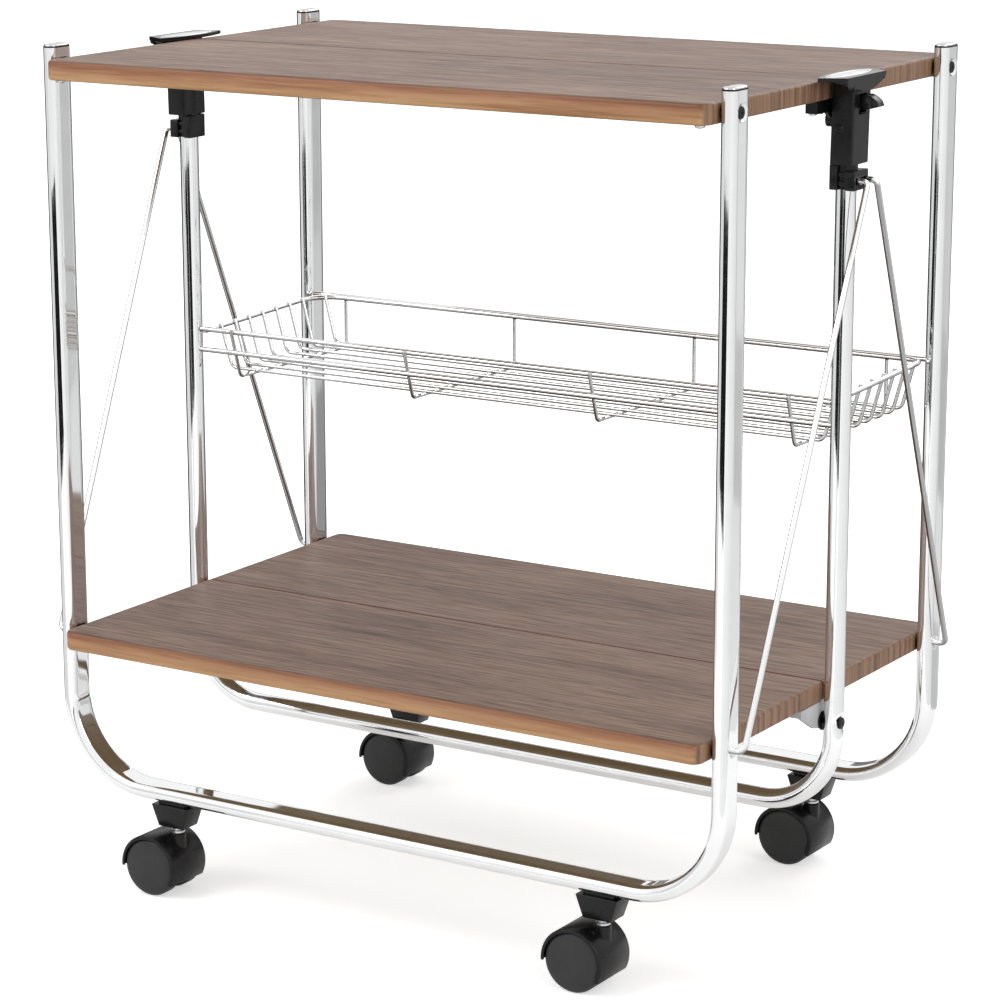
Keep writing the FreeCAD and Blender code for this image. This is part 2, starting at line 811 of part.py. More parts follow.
hinge_fasteners = []
lower_hinge = screw(
    "lower_hinge_screw", "-x", ("middle_outer_x", "0", "lower_hinge_z"), "pin_diameter",
    "middle_outer_x - hinge_tip_x", "screw_head", "screw_head_height", "screw_head_round")
top_hinge = screw(
    "top_hinge_screw", "x", ("hinge_tip_x", "0", "top_hinge_z"), "pin_diameter",
    "middle_outer_x - hinge_tip_x - 2 * running_gap",
    "screw_head", "screw_head_height", "screw_head_round")
for hinge in (lower_hinge, top_hinge):
    hinge_fasteners += [hinge, mirrored(f"{hinge.Name}_other", hinge)]
for level_name in ("top", "lower"):
    washer = ring(
        f"{level_name}_hinge_washer", "x", ("washer_x", "0", f"{level_name}_hinge_z"),
        "washer_diameter", "pin_hole", "washer_thickness")
    hinge_fasteners += [washer, mirrored(f"{washer.Name}_other", washer)]
node("hinge_fasteners", *hinge_fasteners)


# Handle housings with release levers and hand pads
def housing_body():
    """Right-hand housing clamped round the post."""
    body = new_body("housing", z="housing_bottom")
    plan = new_sketch(body, "XY_Plane")
    half = "housing_depth / 2"
    draw_outline(plan, [
        ("housing_in_x", minus(half)), ("housing_out_x", minus(half)),
        ("housing_out_x", half), ("housing_in_x", half),
    ])
    height = "housing_top - housing_bottom"
    pad(body, plan, height)
    round_edges(body, lambda edge: at(edge.BoundBox.ZLength, height), "housing_round")
    bore = new_sketch(body, "XY_Plane")
    draw_circle(bore, "middle_x", "0", "middle_tube / 2 + pin_play")
    pocket(body, bore, height, reverse=True)
    return body


def hand_pad():
    """Right-hand pad: a flared plate with a curved outer lip, over a neck on the post's top."""
    body = new_body("hand_pad", z="pad_bottom")
    plate = new_sketch(body, "XY_Plane")
    inner = "middle_x - pad_inner_reach"
    outer = "middle_x + pad_outer_reach"
    draw_outline(plate, [
        (inner, minus("pad_inner_length / 2")), (outer, minus("pad_outer_length / 2")),
        (outer, "pad_outer_length / 2"), (inner, "pad_inner_length / 2"),
    ])
    pad(body, plate, "pad_thickness")
    round_edges(body, lambda edge: at(edge.BoundBox.ZLength, "pad_thickness"), "pad_corner")
    round_edges(body, lambda edge: at(edge.BoundBox.ZMin, "pad_thickness"), "pad_round")
    lip = new_sketch(body, "YZ_Plane", f"{outer} - pad_lip_thickness")
    low = -size("pad_lip")
    reach = size("pad_outer_length / 2 - pad_corner")
    curve = Part.Arc(Vector(-reach, 0, 0), Vector(0, low, 0), Vector(reach, 0, 0))
    lip.addGeometry(curve)
    lip.addGeometry(Part.LineSegment(Vector(-reach, 0, 0), Vector(reach, 0, 0)))
    drawn = lip.Geometry[0]
    start, end = (1, 2) if drawn.StartPoint.x < drawn.EndPoint.x else (2, 1)
    lip.addConstraint(Sketcher.Constraint("Coincident", 0, start, 1, 1))
    lip.addConstraint(Sketcher.Constraint("Coincident", 0, end, 1, 2))
    half_reach = "pad_outer_length / 2 - pad_corner"
    pin_point(lip, 1, 1, minus(half_reach), "0")
    pin_point(lip, 1, 2, half_reach, "0")
    arc_radius = f"(({half_reach}) * ({half_reach}) + pad_lip * pad_lip) / (2 * pad_lip)"
    index = lip.addConstraint(Sketcher.Constraint("Radius", 0, size(arc_radius)))
    bind(lip, {f"Constraints[{index}]": arc_radius})
    pad(body, lip, "pad_lip_thickness")
    neck = new_sketch(body, "XY_Plane")
    half = "pad_neck_width / 2"
    draw_outline(neck, [
        ("housing_in_x", minus(half)), ("housing_out_x - lever_pin_inset", minus(half)),
        ("housing_out_x - lever_pin_inset", half), ("housing_in_x", half),
    ])
    pad(body, neck, "pad_bottom - housing_top", reverse=True)
    bore = new_sketch(body, "XY_Plane", "middle_top + pin_play - pad_bottom")
    draw_circle(bore, "middle_x", "0", "middle_tube / 2 + pin_play")
    pocket(body, bore, "middle_top - housing_top + overrun")
    seat = new_sketch(body, "XY_Plane", "pad_thickness")
    draw_slot(seat, "middle_x", "(insert_length - insert_width) / 2", "insert_width / 2 + pin_play")
    pocket(body, seat, "insert_thickness - insert_proud")
    return body


def lever_body():
    """Right-hand release lever: a curved paddle that turns on a pin in the housing."""
    body = new_body("lever", "lever_pin_x", "0", "lever_pin_z")
    side_view = new_sketch(body, "XZ_Plane")
    half = "lever_thickness"
    reach = "lever_pin_inset + lever_reach"
    draw_outline(side_view, [
        (minus("lever_pin * lever_eye_share"), minus(half)), ("lever_thickness", minus(half)),
        ("lever_pin_inset + lever_thickness", "half_lever_rise"),
        (f"({reach}) * lever_waist_share", "half_lever_rise / 2"),
        (f"({reach}) * lever_hollow_share", minus("lever_drop / 2")),
        (f"({reach}) * lever_waist_share", minus("lever_drop * lever_heel_share")),
        (reach, minus("lever_drop * lever_tip_share")),
        (f"({reach}) * lever_crown_share", "half_lever_rise + lever_thickness / 2"),
        ("lever_pin_inset + lever_thickness", "half_lever_rise + lever_thickness"),
        (minus("lever_pin * lever_eye_share"), half),
    ])
    pad(body, side_view, "lever_width", midplane=True)
    hole = new_sketch(body, "XZ_Plane")
    draw_circle(hole, "0", "0", "lever_pin / 2 + pin_play")
    pocket(body, hole, "lever_width + overrun", midplane=True)
    return body


housing_cuts = [
    block(
        "lever_slot", ("housing_out_x - lever_slot_depth", "housing_out_x + overrun"),
        (minus("lever_slot_width / 2"), "lever_slot_width / 2"),
        ("lever_slot_bottom", "lever_slot_top")),
    cylinder(
        "lever_pin_bore", "y", ("lever_pin_x", minus("housing_depth / 2 + overrun"), "lever_pin_z"),
        "housing_depth + 2 * overrun", "lever_pin / 2 + pin_play"),
    cylinder(
        "clamp_screw_bore", "y",
        ("middle_x", minus("housing_depth / 2 + overrun"), "housing_screw_height"),
        "housing_depth / 2 + overrun", "wood_screw / 2 + pin_play"),
    cylinder(
        "hinge_bore", "x", ("housing_in_x - overrun", "0", "top_hinge_z"),
        "overrun + middle_x - housing_in_x", "pin_hole"),
]
housing = cut("housing_cut", housing_body(), *housing_cuts)
node("right_handle_housing", housing)
node("left_handle_housing", mirrored("left_housing", housing))
right_pad = hand_pad()
node("right_handle_pad", right_pad)
node("left_handle_pad", mirrored("left_pad", right_pad))
lever = lever_body()
node("right_release_lever", lever)
node("left_release_lever", mirrored("left_lever", lever))

insert = new_body("handle_insert", z="pad_top - insert_thickness + insert_proud")
insert_plan = new_sketch(insert, "XY_Plane")
draw_slot(insert_plan, "middle_x", "(insert_length - insert_width) / 2", "insert_width / 2")
pad(insert, insert_plan, "insert_thickness")
pair("handle_inserts", insert)

clamp_screw = screw(
    "clamp_screw", "y", ("middle_x", minus("housing_depth / 2"), "housing_screw_height"),
    "wood_screw", "(housing_depth - middle_tube) / 2 - running_gap",
    "housing_screw_head", "wood_screw_head_height", "wood_screw_head_round")
pair("housing_screws", clamp_screw)
lever_pin = cylinder(
    "lever_pin_rod", "y", ("lever_pin_x", minus("housing_depth / 2 - running_gap"), "lever_pin_z"),
    "housing_depth - 2 * running_gap", "lever_pin / 2")
pair("lever_pins", lever_pin)

spring = new_body("lever_spring", "housing_out_x - lever_slot_depth", "0", "lever_slot_bottom")
spring_side = new_sketch(spring, "XZ_Plane")
draw_outline(spring_side, [
    ("pin_play", "pin_play"), ("lever_slot_depth - running_gap", "pin_play"),
    ("lever_slot_depth - running_gap", "spring_thickness"),
    ("2 * spring_thickness", "spring_thickness + pin_play"),
    ("lever_slot_depth / 2", "lever_slot_height / 2 - lever_thickness - running_gap"),
    ("lever_slot_depth / 2 - spring_thickness", "lever_slot_height / 2 - lever_thickness - running_gap"),
])
pad(spring, spring_side, "spring_width", midplane=True)
pair("lever_springs", spring)


# Sliders on the middle posts
sleeve = cylinder(
    "slider_sleeve_round", "z", ("middle_x", "0", "slider_bottom"), "slider_height", "slider_sleeve / 2")
plate = block(
    "slider_plate", ("plate_in_x", "plate_out_x"),
    (minus("slider_plate_width / 2"), "slider_plate_width / 2"), ("slider_bottom", "slider_top"))
webs = [
    block(
        f"slider_web_{index}", ("middle_x + middle_tube / 2", "plate_in_x + running_gap"),
        (f"{low}", f"{low} + slider_web"), ("slider_bottom", "slider_top"))
    for index, low in enumerate(("slider_web_gap / 2", minus("slider_web_gap / 2 + slider_web")))
]
slider_holes = [cylinder(
    "slider_bore", "z", ("middle_x", "0", "slider_bottom - overrun"),
    "slider_height + 2 * overrun", "middle_tube / 2 + slider_bore_play")]
for index, head_y in enumerate(("strut_head_y", minus("strut_head_y"))):
    slider_holes.append(cylinder(
        f"slider_hole_{index}", "x", ("plate_in_x - running_gap", head_y, "slider_pivot_height"),
        "plate_out_x - plate_in_x + overrun", "strut_wire / 2 + 2 * pin_play"))
slider = cut("slider_cut", fuse("slider_solid", sleeve, plate, *webs), *slider_holes)
node("right_slider", slider)
node("left_slider", mirrored("left_slider_copy", slider))


# Wire struts from the outer posts' feet up to the sliders
for side_name, sign in (("front", "-"), ("rear", "")):
    for end_name, end in (("left", "-"), ("right", "")):
        route = [
            (f"{end}(board_end - pin_depth)", f"{sign}(post_y)", "lower_pivot_z"),
            (f"{end}(strut_foot_x)", f"{sign}(post_y)", "lower_pivot_z"),
            (f"{end}(strut_head_x)", f"{sign}(strut_head_y)", "slider_pivot_height"),
            (f"{end}(strut_tip_x)", f"{sign}(strut_head_y)", "slider_pivot_height"),
        ]
        label = f"{side_name}_{end_name}_strut"
        node(label, rod(label, route, "strut_wire", ["strut_foot_bend", "strut_head_bend"]))


# Wire basket
rail_rear = cylinder(
    "rear_rail", "x", (minus("post_x"), "post_y", "rear_rail_height"), "2 * post_x", "rail_radius")
rail_front = cylinder(
    "front_wire", "x", (minus("middle_inner_x - running_gap"), "0", "front_wire_z"),
    "2 * (middle_inner_x - running_gap)", "rail_radius")
side_rail = rod("side_rail", [
    (minus("side_rail_x"), "0", "side_rail_front_z"),
    (minus("side_rail_x"), "post_y", "side_rail_rear_z"),
    ("side_rail_x", "post_y", "side_rail_rear_z"),
    ("side_rail_x", "0", "side_rail_front_z"),
], "rail_wire", ["side_rail_bend", "side_rail_bend"])
node("basket_rim", rail_rear, rail_front, side_rail)
node("basket_pivot_wire", cylinder(
    "pivot_wire", "x", (minus("middle_x"), "0", "basket_pivot_z"), "2 * middle_x", "rail_radius"))

LONG_WIRES = 8
pitch = f"(post_y - long_wire_first - long_wire_last) / ({LONG_WIRES} - 1)"
hook_bend = "thin_radius * hook_bend_share"
long_wires = []
for index in range(LONG_WIRES):
    wire_y = f"(long_wire_first + {index} * {pitch})"
    rise = f"side_rail_front_z + (side_rail_rear_z - side_rail_front_z) * ({wire_y}) / post_y"
    hook_z = f"{rise} + rail_radius + thin_radius + weld_gap"
    past_bend = f"max(0, {wire_y} - (post_y - side_rail_bend))"
    turn = f"sqrt(1 - ({past_bend} / side_rail_bend) ^ 2)"
    rail_x = f"side_rail_x - side_rail_bend * (1 - {turn})"
    wire_wall_x = f"({rail_x} - (rail_radius + thin_radius + weld_gap) / {turn})"
    long_wires.append(rod(f"long_wire_{index + 1}", [
        (minus(f"{rail_x} + hook_reach"), wire_y, hook_z),
        (minus(wire_wall_x), wire_y, hook_z),
        (minus(f"{wire_wall_x} - basket_wall_lean"), wire_y, "basket_floor"),
        (f"{wire_wall_x} - basket_wall_lean", wire_y, "basket_floor"),
        (wire_wall_x, wire_y, hook_z),
        (f"{rail_x} + hook_reach", wire_y, hook_z),
    ], "thin_wire", [hook_bend, "long_wire_bend", "long_wire_bend", hook_bend]))
node("basket_long_wires", *long_wires)

cross_wires = []
front_run = "front_wire_z - cross_wire_z"
lean = f"cross_wire_front / ({front_run})"
rear_y = "post_y - rail_radius - thin_radius - weld_gap"
CROSS_WIRES = 4
for index in range(CROSS_WIRES):
    wire_x = f"cross_wire_pitch * ({index} - ({CROSS_WIRES} - 1) / 2)"
    cross_wires.append(rod(f"cross_wire_{index + 1}", [
        (wire_x, f"{lean} * (rail_radius + thin_radius / 2)",
         "front_wire_z - rail_radius - thin_radius / 2"),
        (wire_x, "cross_wire_front", "cross_wire_z"),
        (wire_x, rear_y, "cross_wire_z"),
        (wire_x, rear_y, "side_rail_rear_z - rail_radius"),
    ], "thin_wire", ["cross_wire_bend", "cross_wire_bend"]))
node("basket_cross_wires", *cross_wires)


# Twin-wheel castors, all trailing towards -X; the hood's shell covers a sector, in degrees
HOOD_START = 180
HOOD_SWEEP = 210


def castor(name, x, y):
    """Hood with its axle and stem, and the two wheels that turn on the axle."""
    hub_x = f"{x} - castor_trail"
    hub = (hub_x, y, "wheel_radius")
    half = "castor_width / 2"
    lip_radius = "wheel_radius - hood_lip"

    def drum(part, half_width, radius, turn=0, sweep=360):
        start = (hub_x, f"{y} - ({half_width})", "wheel_radius")
        return cylinder(f"{name}_{part}", "y", start, f"2 * ({half_width})", radius, turn, sweep)

    shell = cut(
        f"{name}_shell", drum("shell_outer", half, "hood_outer", HOOD_START, HOOD_SWEEP),
        drum("shell_inner", f"{half} - hood_thickness / 2", "hood_inner"),
        drum("shell_opening", f"{half} + overrun", lip_radius))
    web = drum("web", "hood_web / 2", "hood_inner + hood_thickness / 2", HOOD_START, HOOD_SWEEP)
    hub_solid = drum("hub", "hood_web / 2", "hood_hub / 2")
    boss = cylinder(
        f"{name}_boss", "z", (x, y, "wheel_radius - stem_diameter"),
        "hood_boss_top - wheel_radius + stem_diameter", "hood_boss / 2")
    bores = [
        drum("axle_bore", f"{half} + overrun", "axle_diameter / 2 + pin_play"),
        cylinder(
            f"{name}_stem_bore", "z", (x, y, "hood_boss_top - stem_foot"),
            "stem_foot + overrun", "stem_diameter / 2 + pin_play"),
    ]
    hood = cut(f"{name}_hood_cut", fuse(f"{name}_hood_solid", shell, web, hub_solid, boss), *bores)
    node(f"{name}_castor_hood", hood)

    stem = turned(f"{name}_stem", "z", (x, y, "hood_boss_top"), [
        ("0", minus("stem_foot - running_gap")), ("stem_diameter / 2", minus("stem_foot - running_gap")),
        ("stem_diameter / 2", "0"), ("stem_collar / 2", "0"),
        ("stem_collar / 2", "stem_collar_height"), ("stem_diameter / 2", "stem_collar_height"),
        ("stem_diameter / 2", "stem_top - hood_boss_top"), ("0", "stem_top - hood_boss_top"),
    ])
    node(f"{name}_castor_stem", stem)
    reach = "wheel_out_y - wheel_edge_round - running_gap"
    node(f"{name}_castor_axle", drum("axle", reach, "axle_diameter / 2"))

    wheels = []
    profile = [
        ("axle_diameter / 2 + pin_play", "0"), ("wheel_radius - wheel_edge_round", "0"),
        ("wheel_radius", "wheel_edge_round"),
        ("wheel_radius", "wheel_width - 2 * wheel_edge_round"),
        ("wheel_radius - wheel_edge_round", "wheel_width - wheel_edge_round / 2"),
        (f"{lip_radius} - running_gap", "wheel_width - wheel_edge_round / 2"),
        ("wheel_radius / 2", "wheel_width + wheel_face_bulge / 2"),
        ("0", "wheel_width + wheel_face_bulge"), ("0", "wheel_width - wheel_edge_round"),
        ("axle_diameter / 2 + pin_play", "wheel_width - wheel_edge_round"),
    ]
    for side, along, inner in (
            ("back", "y", f"{y} + wheel_in_y"), ("near", "-y", f"{y} - (wheel_in_y)")):
        start = (hub_x, inner, "wheel_radius")
        wheels.append(turned(f"{name}_{side}_wheel", along, start, profile))
    node(f"{name}_castor_wheels", *wheels)


for side_name, side_y in (("front", minus("post_y")), ("rear", "post_y")):
    for end_name, end_x in (("left", minus("castor_x")), ("right", "castor_x")):
        castor(f"{side_name}_{end_name}", end_x, side_y)

doc.recompute()

# Checks before writing
faults = [item.Name for item in doc.Objects if {"Invalid", "Error"}.intersection(item.State)]
faults += [item.Label for item in NODES if item.Shape.isNull() or not item.Shape.isValid()]
if faults:
    raise RuntimeError("These did not build: " + ", ".join(faults))

os.makedirs("parts", exist_ok=True)
for item in NODES:
    item.Shape.exportStep(f"parts/{item.Label}.step")
print(len(NODES), "sub-parts written")
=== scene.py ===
"""Looks of the folding serving trolley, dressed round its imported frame."""
import math

import bmesh
import bpy
from mathutils import Matrix, Vector


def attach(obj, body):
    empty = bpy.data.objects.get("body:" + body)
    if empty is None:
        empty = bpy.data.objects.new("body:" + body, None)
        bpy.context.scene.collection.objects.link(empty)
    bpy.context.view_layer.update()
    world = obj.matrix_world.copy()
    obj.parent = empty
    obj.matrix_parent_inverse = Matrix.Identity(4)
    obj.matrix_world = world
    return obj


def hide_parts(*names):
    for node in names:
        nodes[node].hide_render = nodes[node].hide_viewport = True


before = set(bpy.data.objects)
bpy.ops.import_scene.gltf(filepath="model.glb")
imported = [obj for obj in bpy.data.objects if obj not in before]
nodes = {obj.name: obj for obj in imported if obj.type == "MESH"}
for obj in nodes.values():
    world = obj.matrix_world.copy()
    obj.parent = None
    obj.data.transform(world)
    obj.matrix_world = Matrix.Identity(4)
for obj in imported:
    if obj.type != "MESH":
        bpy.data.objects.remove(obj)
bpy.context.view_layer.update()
scene = bpy.context.scene
MM = 0.001

# Studio
# A white room with a pale floor and soft lamps. Sheets and flags stand round the room, and one
# lies on the far end of the floor in front, which is dark: only polished metal shows them.
camera_place = Vector((1.45782, -2.31699, 0.97518))
camera_turn = math.radians(33.49)
camera_dip = math.radians(13.91)
camera_roll = math.radians(-0.4)
camera_focal_share = 3.3997
picture_centre_share = (0.42252, 0.53751)

look = Vector((
    -math.sin(camera_turn) * math.cos(camera_dip),
    math.cos(camera_turn) * math.cos(camera_dip),
    -math.sin(camera_dip)))
level = Vector((math.cos(camera_turn), math.sin(camera_turn), 0))
rise = level.cross(look)
right = level * math.cos(camera_roll) + rise * math.sin(camera_roll)
above = rise * math.cos(camera_roll) - level * math.sin(camera_roll)
camera = bpy.data.objects.new("camera", bpy.data.cameras.new("camera"))
camera.data.sensor_width = 36
camera.data.lens = camera.data.sensor_width * camera_focal_share
camera.data.shift_x = 0.5 - picture_centre_share[0]
camera.data.shift_y = picture_centre_share[1] - 0.5
turn = Matrix((right, above, -look)).transposed().to_4x4()
camera.matrix_world = Matrix.Translation(camera_place) @ turn
scene.collection.objects.link(camera)
scene.camera = camera
scene.view_settings.view_transform = "Standard"


def feed(tree, node, values):
    """Fill or link a node's inputs."""
    for socket, value in values.items():
        if isinstance(value, bpy.types.NodeSocket):
            tree.links.new(value, node.inputs[socket])
        else:
            node.inputs[socket].default_value = value


def add_node(tree, kind, values=None, **settings):
    """Place a shader node, set its fields, and fill or link its inputs."""
    made = tree.nodes.new(kind)
    for field, value in settings.items():
        setattr(made, field, value)
    feed(tree, made, values or {})
    return made


def maths(tree, operation, *values):
    return add_node(tree, "ShaderNodeMath", dict(enumerate(values)), operation=operation).outputs[0]


def mapped(tree, value, low, high, to_low, to_high):
    """Stretch one range of values on to another."""
    return add_node(tree, "ShaderNodeMapRange", {
        "Value": value, "From Min": low, "From Max": high,
        "To Min": to_low, "To Max": to_high}).outputs[0]


def noise(tree, place, scale, detail, roughness=0.5):
    return add_node(tree, "ShaderNodeTexNoise", {
        "Vector": place, "Scale": scale, "Detail": detail, "Roughness": roughness}).outputs["Fac"]


def bumped(tree, strength, distance, height):
    return add_node(tree, "ShaderNodeBump", {
        "Strength": strength, "Distance": distance, "Height": height}).outputs[0]


def ramp(tree, factor, *stops):
    """Colour band from (position, grey or colour) stops."""
    made = add_node(tree, "ShaderNodeValToRGB", {"Fac": factor})
    band = made.color_ramp
    while len(band.elements) < len(stops):
        band.elements.new(0.5)
    for element, (position, tone) in zip(band.elements, stops):
        element.position = position
        element.color = (*tone, 1) if isinstance(tone, tuple) else (tone, tone, tone, 1)
    return made.outputs["Color"]


def seen_rays(tree):
    """1 for camera, glossy and transmission rays, 0 for the rays that light the object."""
    path = add_node(tree, "ShaderNodeLightPath")
    seen = maths(tree, "MAXIMUM", path.outputs["Is Camera Ray"], path.outputs["Is Glossy Ray"])
    return maths(tree, "MAXIMUM", seen, path.outputs["Is Transmission Ray"])


room = bpy.data.worlds.new("room")
scene.world = room
room.use_nodes = True
tree = room.node_tree
tree.nodes.clear()
lit = add_node(tree, "ShaderNodeBackground", {"Color": (1, 1, 1, 1), "Strength": 0.62})
shown = add_node(tree, "ShaderNodeBackground", {"Color": (1, 1, 1, 1), "Strength": 1.0})
mixed = add_node(
    tree, "ShaderNodeMixShader", {0: seen_rays(tree), 1: lit.outputs[0], 2: shown.outputs[0]})
add_node(tree, "ShaderNodeOutputWorld", {"Surface": mixed.outputs[0]})


def stage_piece(name, bm, paint):
    mesh = bpy.data.meshes.new(name)
    bm.to_mesh(mesh)
    bm.free()
    mesh.materials.append(paint)
    made = bpy.data.objects.new(name, mesh)
    scene.collection.objects.link(made)
    return made


def bare_paint(name):
    paint = bpy.data.materials.new(name)
    paint.use_nodes = True
    paint.node_tree.nodes.clear()
    return paint, paint.node_tree


floor_half, glow_near, glow_far = 9.0, 0.3, 1.3
floor_paint, tree = bare_paint("pale floor")
place = add_node(tree, "ShaderNodeTexCoord").outputs["Object"]
away = add_node(tree, "ShaderNodeVectorMath", {0: place}, operation="LENGTH").outputs["Value"]
glow_share = mapped(tree, away, glow_near, glow_far, 0.54, 0.8)
matt = add_node(tree, "ShaderNodeBsdfDiffuse", {"Color": (0.86, 0.86, 0.86, 1)})
path = add_node(tree, "ShaderNodeLightPath")
glow_share = maths(
    tree, "MULTIPLY", glow_share,
    maths(tree, "MULTIPLY_ADD", path.outputs["Is Glossy Ray"], -0.55, 1.0))
glow = add_node(tree, "ShaderNodeEmission", {"Color": (1, 1, 1, 1), "Strength": glow_share})
lifted = add_node(tree, "ShaderNodeAddShader", {0: matt.outputs[0], 1: glow.outputs[0]})
both = add_node(
    tree, "ShaderNodeMixShader", {0: seen_rays(tree), 1: matt.outputs[0], 2: lifted.outputs[0]})
add_node(tree, "ShaderNodeOutputMaterial", {"Surface": both.outputs[0]})
bm = bmesh.new()
bmesh.ops.create_grid(bm, x_segments=1, y_segments=1, size=floor_half)
stage_piece("floor", bm, floor_paint)


lamp_aim = Vector((0, 0, 0.4))


def lamp(name, place, width, height, power):
    """Soft rectangular lamp aimed at the middle of the object."""
    light = bpy.data.lights.new(name, "AREA")
    light.shape = "RECTANGLE"
    light.size = width
    light.size_y = height
    light.energy = power
    made = bpy.data.objects.new(name, light)
    made.location = place
    made.rotation_euler = (lamp_aim - Vector(place)).to_track_quat("-Z", "Y").to_euler()
    scene.collection.objects.link(made)


lamp("key lamp", (-1.6, -2.4, 2.6), 1.6, 1.6, 42)
lamp("fill lamp", (2.6, -0.6, 1.8), 1.4, 1.8, 16)
lamp("back lamp", (0.4, 2.6, 2.2), 2.0, 1.2, 18)


def picked(geometry, kind):
    return [item for item in geometry if isinstance(item, kind)]


sheet_foot, sheet_far, sheet_steps = 0.005, 4.2, 24


def sheet(name, first, last, profile, grey, end_grey=None):
    """Upright or lying sheet that only polished metal sees: a (distance, height) profile swept
    from the first to the last bearing from the front towards +X, shaded between two greys."""
    paint, tree = bare_paint(name)
    share = add_node(tree, "ShaderNodeAttribute", attribute_name="share").outputs["Fac"]
    shade = mapped(tree, share, 0.0, 1.0, grey, grey if end_grey is None else end_grey)
    tone = add_node(tree, "ShaderNodeEmission", {"Strength": shade})
    add_node(tree, "ShaderNodeOutputMaterial", {"Surface": tone.outputs[0]})
    bm = bmesh.new()
    sweep = bm.verts.layers.float.new("share")
    line = [bm.verts.new((0, -distance, height)) for distance, height in profile]
    edges = [bm.edges.new(ends) for ends in zip(line, line[1:])]
    turn = Matrix.Rotation(math.radians(last - first) / sheet_steps, 3, "Z")
    for step in range(1, sheet_steps + 1):
        made = bmesh.ops.extrude_edge_only(bm, edges=edges)["geom"]
        line = picked(made, bmesh.types.BMVert)
        edges = picked(made, bmesh.types.BMEdge)
        bmesh.ops.rotate(bm, verts=line, matrix=turn)
        for vert in line:
            vert[sweep] = step / sheet_steps
    bmesh.ops.rotate(bm, verts=bm.verts, matrix=Matrix.Rotation(math.radians(first), 3, "Z"))
    made = stage_piece(name, bm, paint)
    made.visible_camera = False
    made.visible_diffuse = False
    made.visible_shadow = False
    made.visible_transmission = False


sheet("dark end of the floor", -34, 28, ((1.75, 0.004), (4.4, 0.004)), 0.012)
for name, first, last, near, high, *greys in (
        ("flag behind", -168, -126, 0.62, 0.9, 0.20),
        ("left flag", -126, -84, 0.62, 2.2, 0.04),
        ("left sheet", -84, -34, 0.8, 1.2, 0.76),
        ("right sheet", 36, 139.7, 0.8, 1.2, 1.0, 0.80),
        ("first back sheet", 139.7, 144.5, 0.7, 1.2, 0.57),
        ("second back sheet", 144.5, 148.2, 0.7, 1.2, 0.79),
        ("third back sheet", 148.2, 151, 0.7, 1.2, 0.50),
        ("fourth back sheet", 151, 156, 0.7, 1.2, 0.64),
        ("far back sheet", 156, 170, 0.7, 1.2, 0.30),
        ("right flag", 170, 192, 0.7, 1.6, 0.12)):
    upright = ((near, sheet_foot), (sheet_far, sheet_foot), (sheet_far, high))
    sheet(name, first, last, upright, *greys)


# Front and rear frames
# Chromed steel tube of flat-oval section, bent into a U in one piece. The posts are pressed in
# a little round each pivot screw, and the frame's two ends are closed by caps.
post_x, post_y = 310, 176
oval_depth, oval_width = 26, 13
post_top, outer_bar, outer_bend = 702, 87, 75
top_pivot, lower_pivot = 686, 212
dimples = ((top_pivot, 1.7, 5.1, 6.4), (lower_pivot, 0.8, 2.9, 5.5))
oval_segments, oval_cuts, tube_bend_steps, bar_steps = 48, 7, 28, 4
press_pitch, press_rings, post_pitch = 1.25, 8, 40
frames = (("front", -post_y), ("rear", post_y))
hair, merge_gap, tube_smooth = 0.01, 0.004, 50.0


def effect(name, inputs, outputs):
    """Empty node group with named sockets, for an effect that several finishes share."""
    group = bpy.data.node_groups.new(name, "ShaderNodeTree")
    for socket, kind, value in inputs:
        made = group.interface.new_socket(name=socket, in_out="INPUT", socket_type=f"NodeSocket{kind}")
        if value is not None:
            made.default_value = value
    for socket, kind in outputs:
        group.interface.new_socket(
            name=socket, in_out="OUTPUT", socket_type=f"NodeSocket{kind}")
    return group, group.nodes.new("NodeGroupInput"), group.nodes.new("NodeGroupOutput")


polish, given, result = effect(
    "polish",
    [("Low", "Float", 0.04), ("High", "Float", 0.12),
     ("Scale", "Float", 60.0), ("Waves", "Float", 0.02)],
    [("Roughness", "Float"), ("Normal", "Vector"), ("Tone", "Float")])
place = add_node(polish, "ShaderNodeTexCoord").outputs["Object"]
haze = noise(polish, place, given.outputs["Scale"], 5.0)
ripple = noise(polish, place, 38.0, 1.0)
feed(polish, result, {
    "Roughness": mapped(polish, haze, 0.35, 0.7, given.outputs["Low"], given.outputs["High"]),
    "Normal": bumped(polish, given.outputs["Waves"], 0.002, ripple),
    "Tone": mapped(polish, haze, 0.2, 0.8, 0.93, 1.0)})


def new_paint(name):
    paint = bpy.data.materials.new(name)
    paint.use_nodes = True
    return paint, paint.node_tree, paint.node_tree.nodes["Principled BSDF"]


def coat(tree, shader, colour, skin):
    """Colour scaled by an effect's tone, with the gloss and relief of that effect."""
    shade = add_node(
        tree, "ShaderNodeVectorMath", {0: colour, "Scale": skin.outputs["Tone"]}, operation="SCALE")
    feed(tree, shader, {
        "Base Color": shade.outputs["Vector"], "Roughness": skin.outputs["Roughness"],
        "Normal": skin.outputs["Normal"]})


def bright_metal(name, colour, low, high, scale, waves):
    """Plated metal: its colour dims and its gloss dulls a little in faint patches."""
    paint, tree, shader = new_paint(name)
    shader.inputs["Metallic"].default_value = 1.0
    values = {"Low": low, "High": high, "Scale": scale, "Waves": waves}
    coat(tree, shader, colour, add_node(tree, "ShaderNodeGroup", values, node_tree=polish))
    return paint


chrome = bright_metal("chrome plate", (0.93, 0.935, 0.94), 0.03, 0.075, 45.0, 0.012)


def verts_of(edges):
    return {v for e in edges for v in e.verts}


def edges_of(verts):
    return list({e for v in verts for e in v.link_edges})


def whole(bm):
    return bm.verts[:] + bm.edges[:] + bm.faces[:]


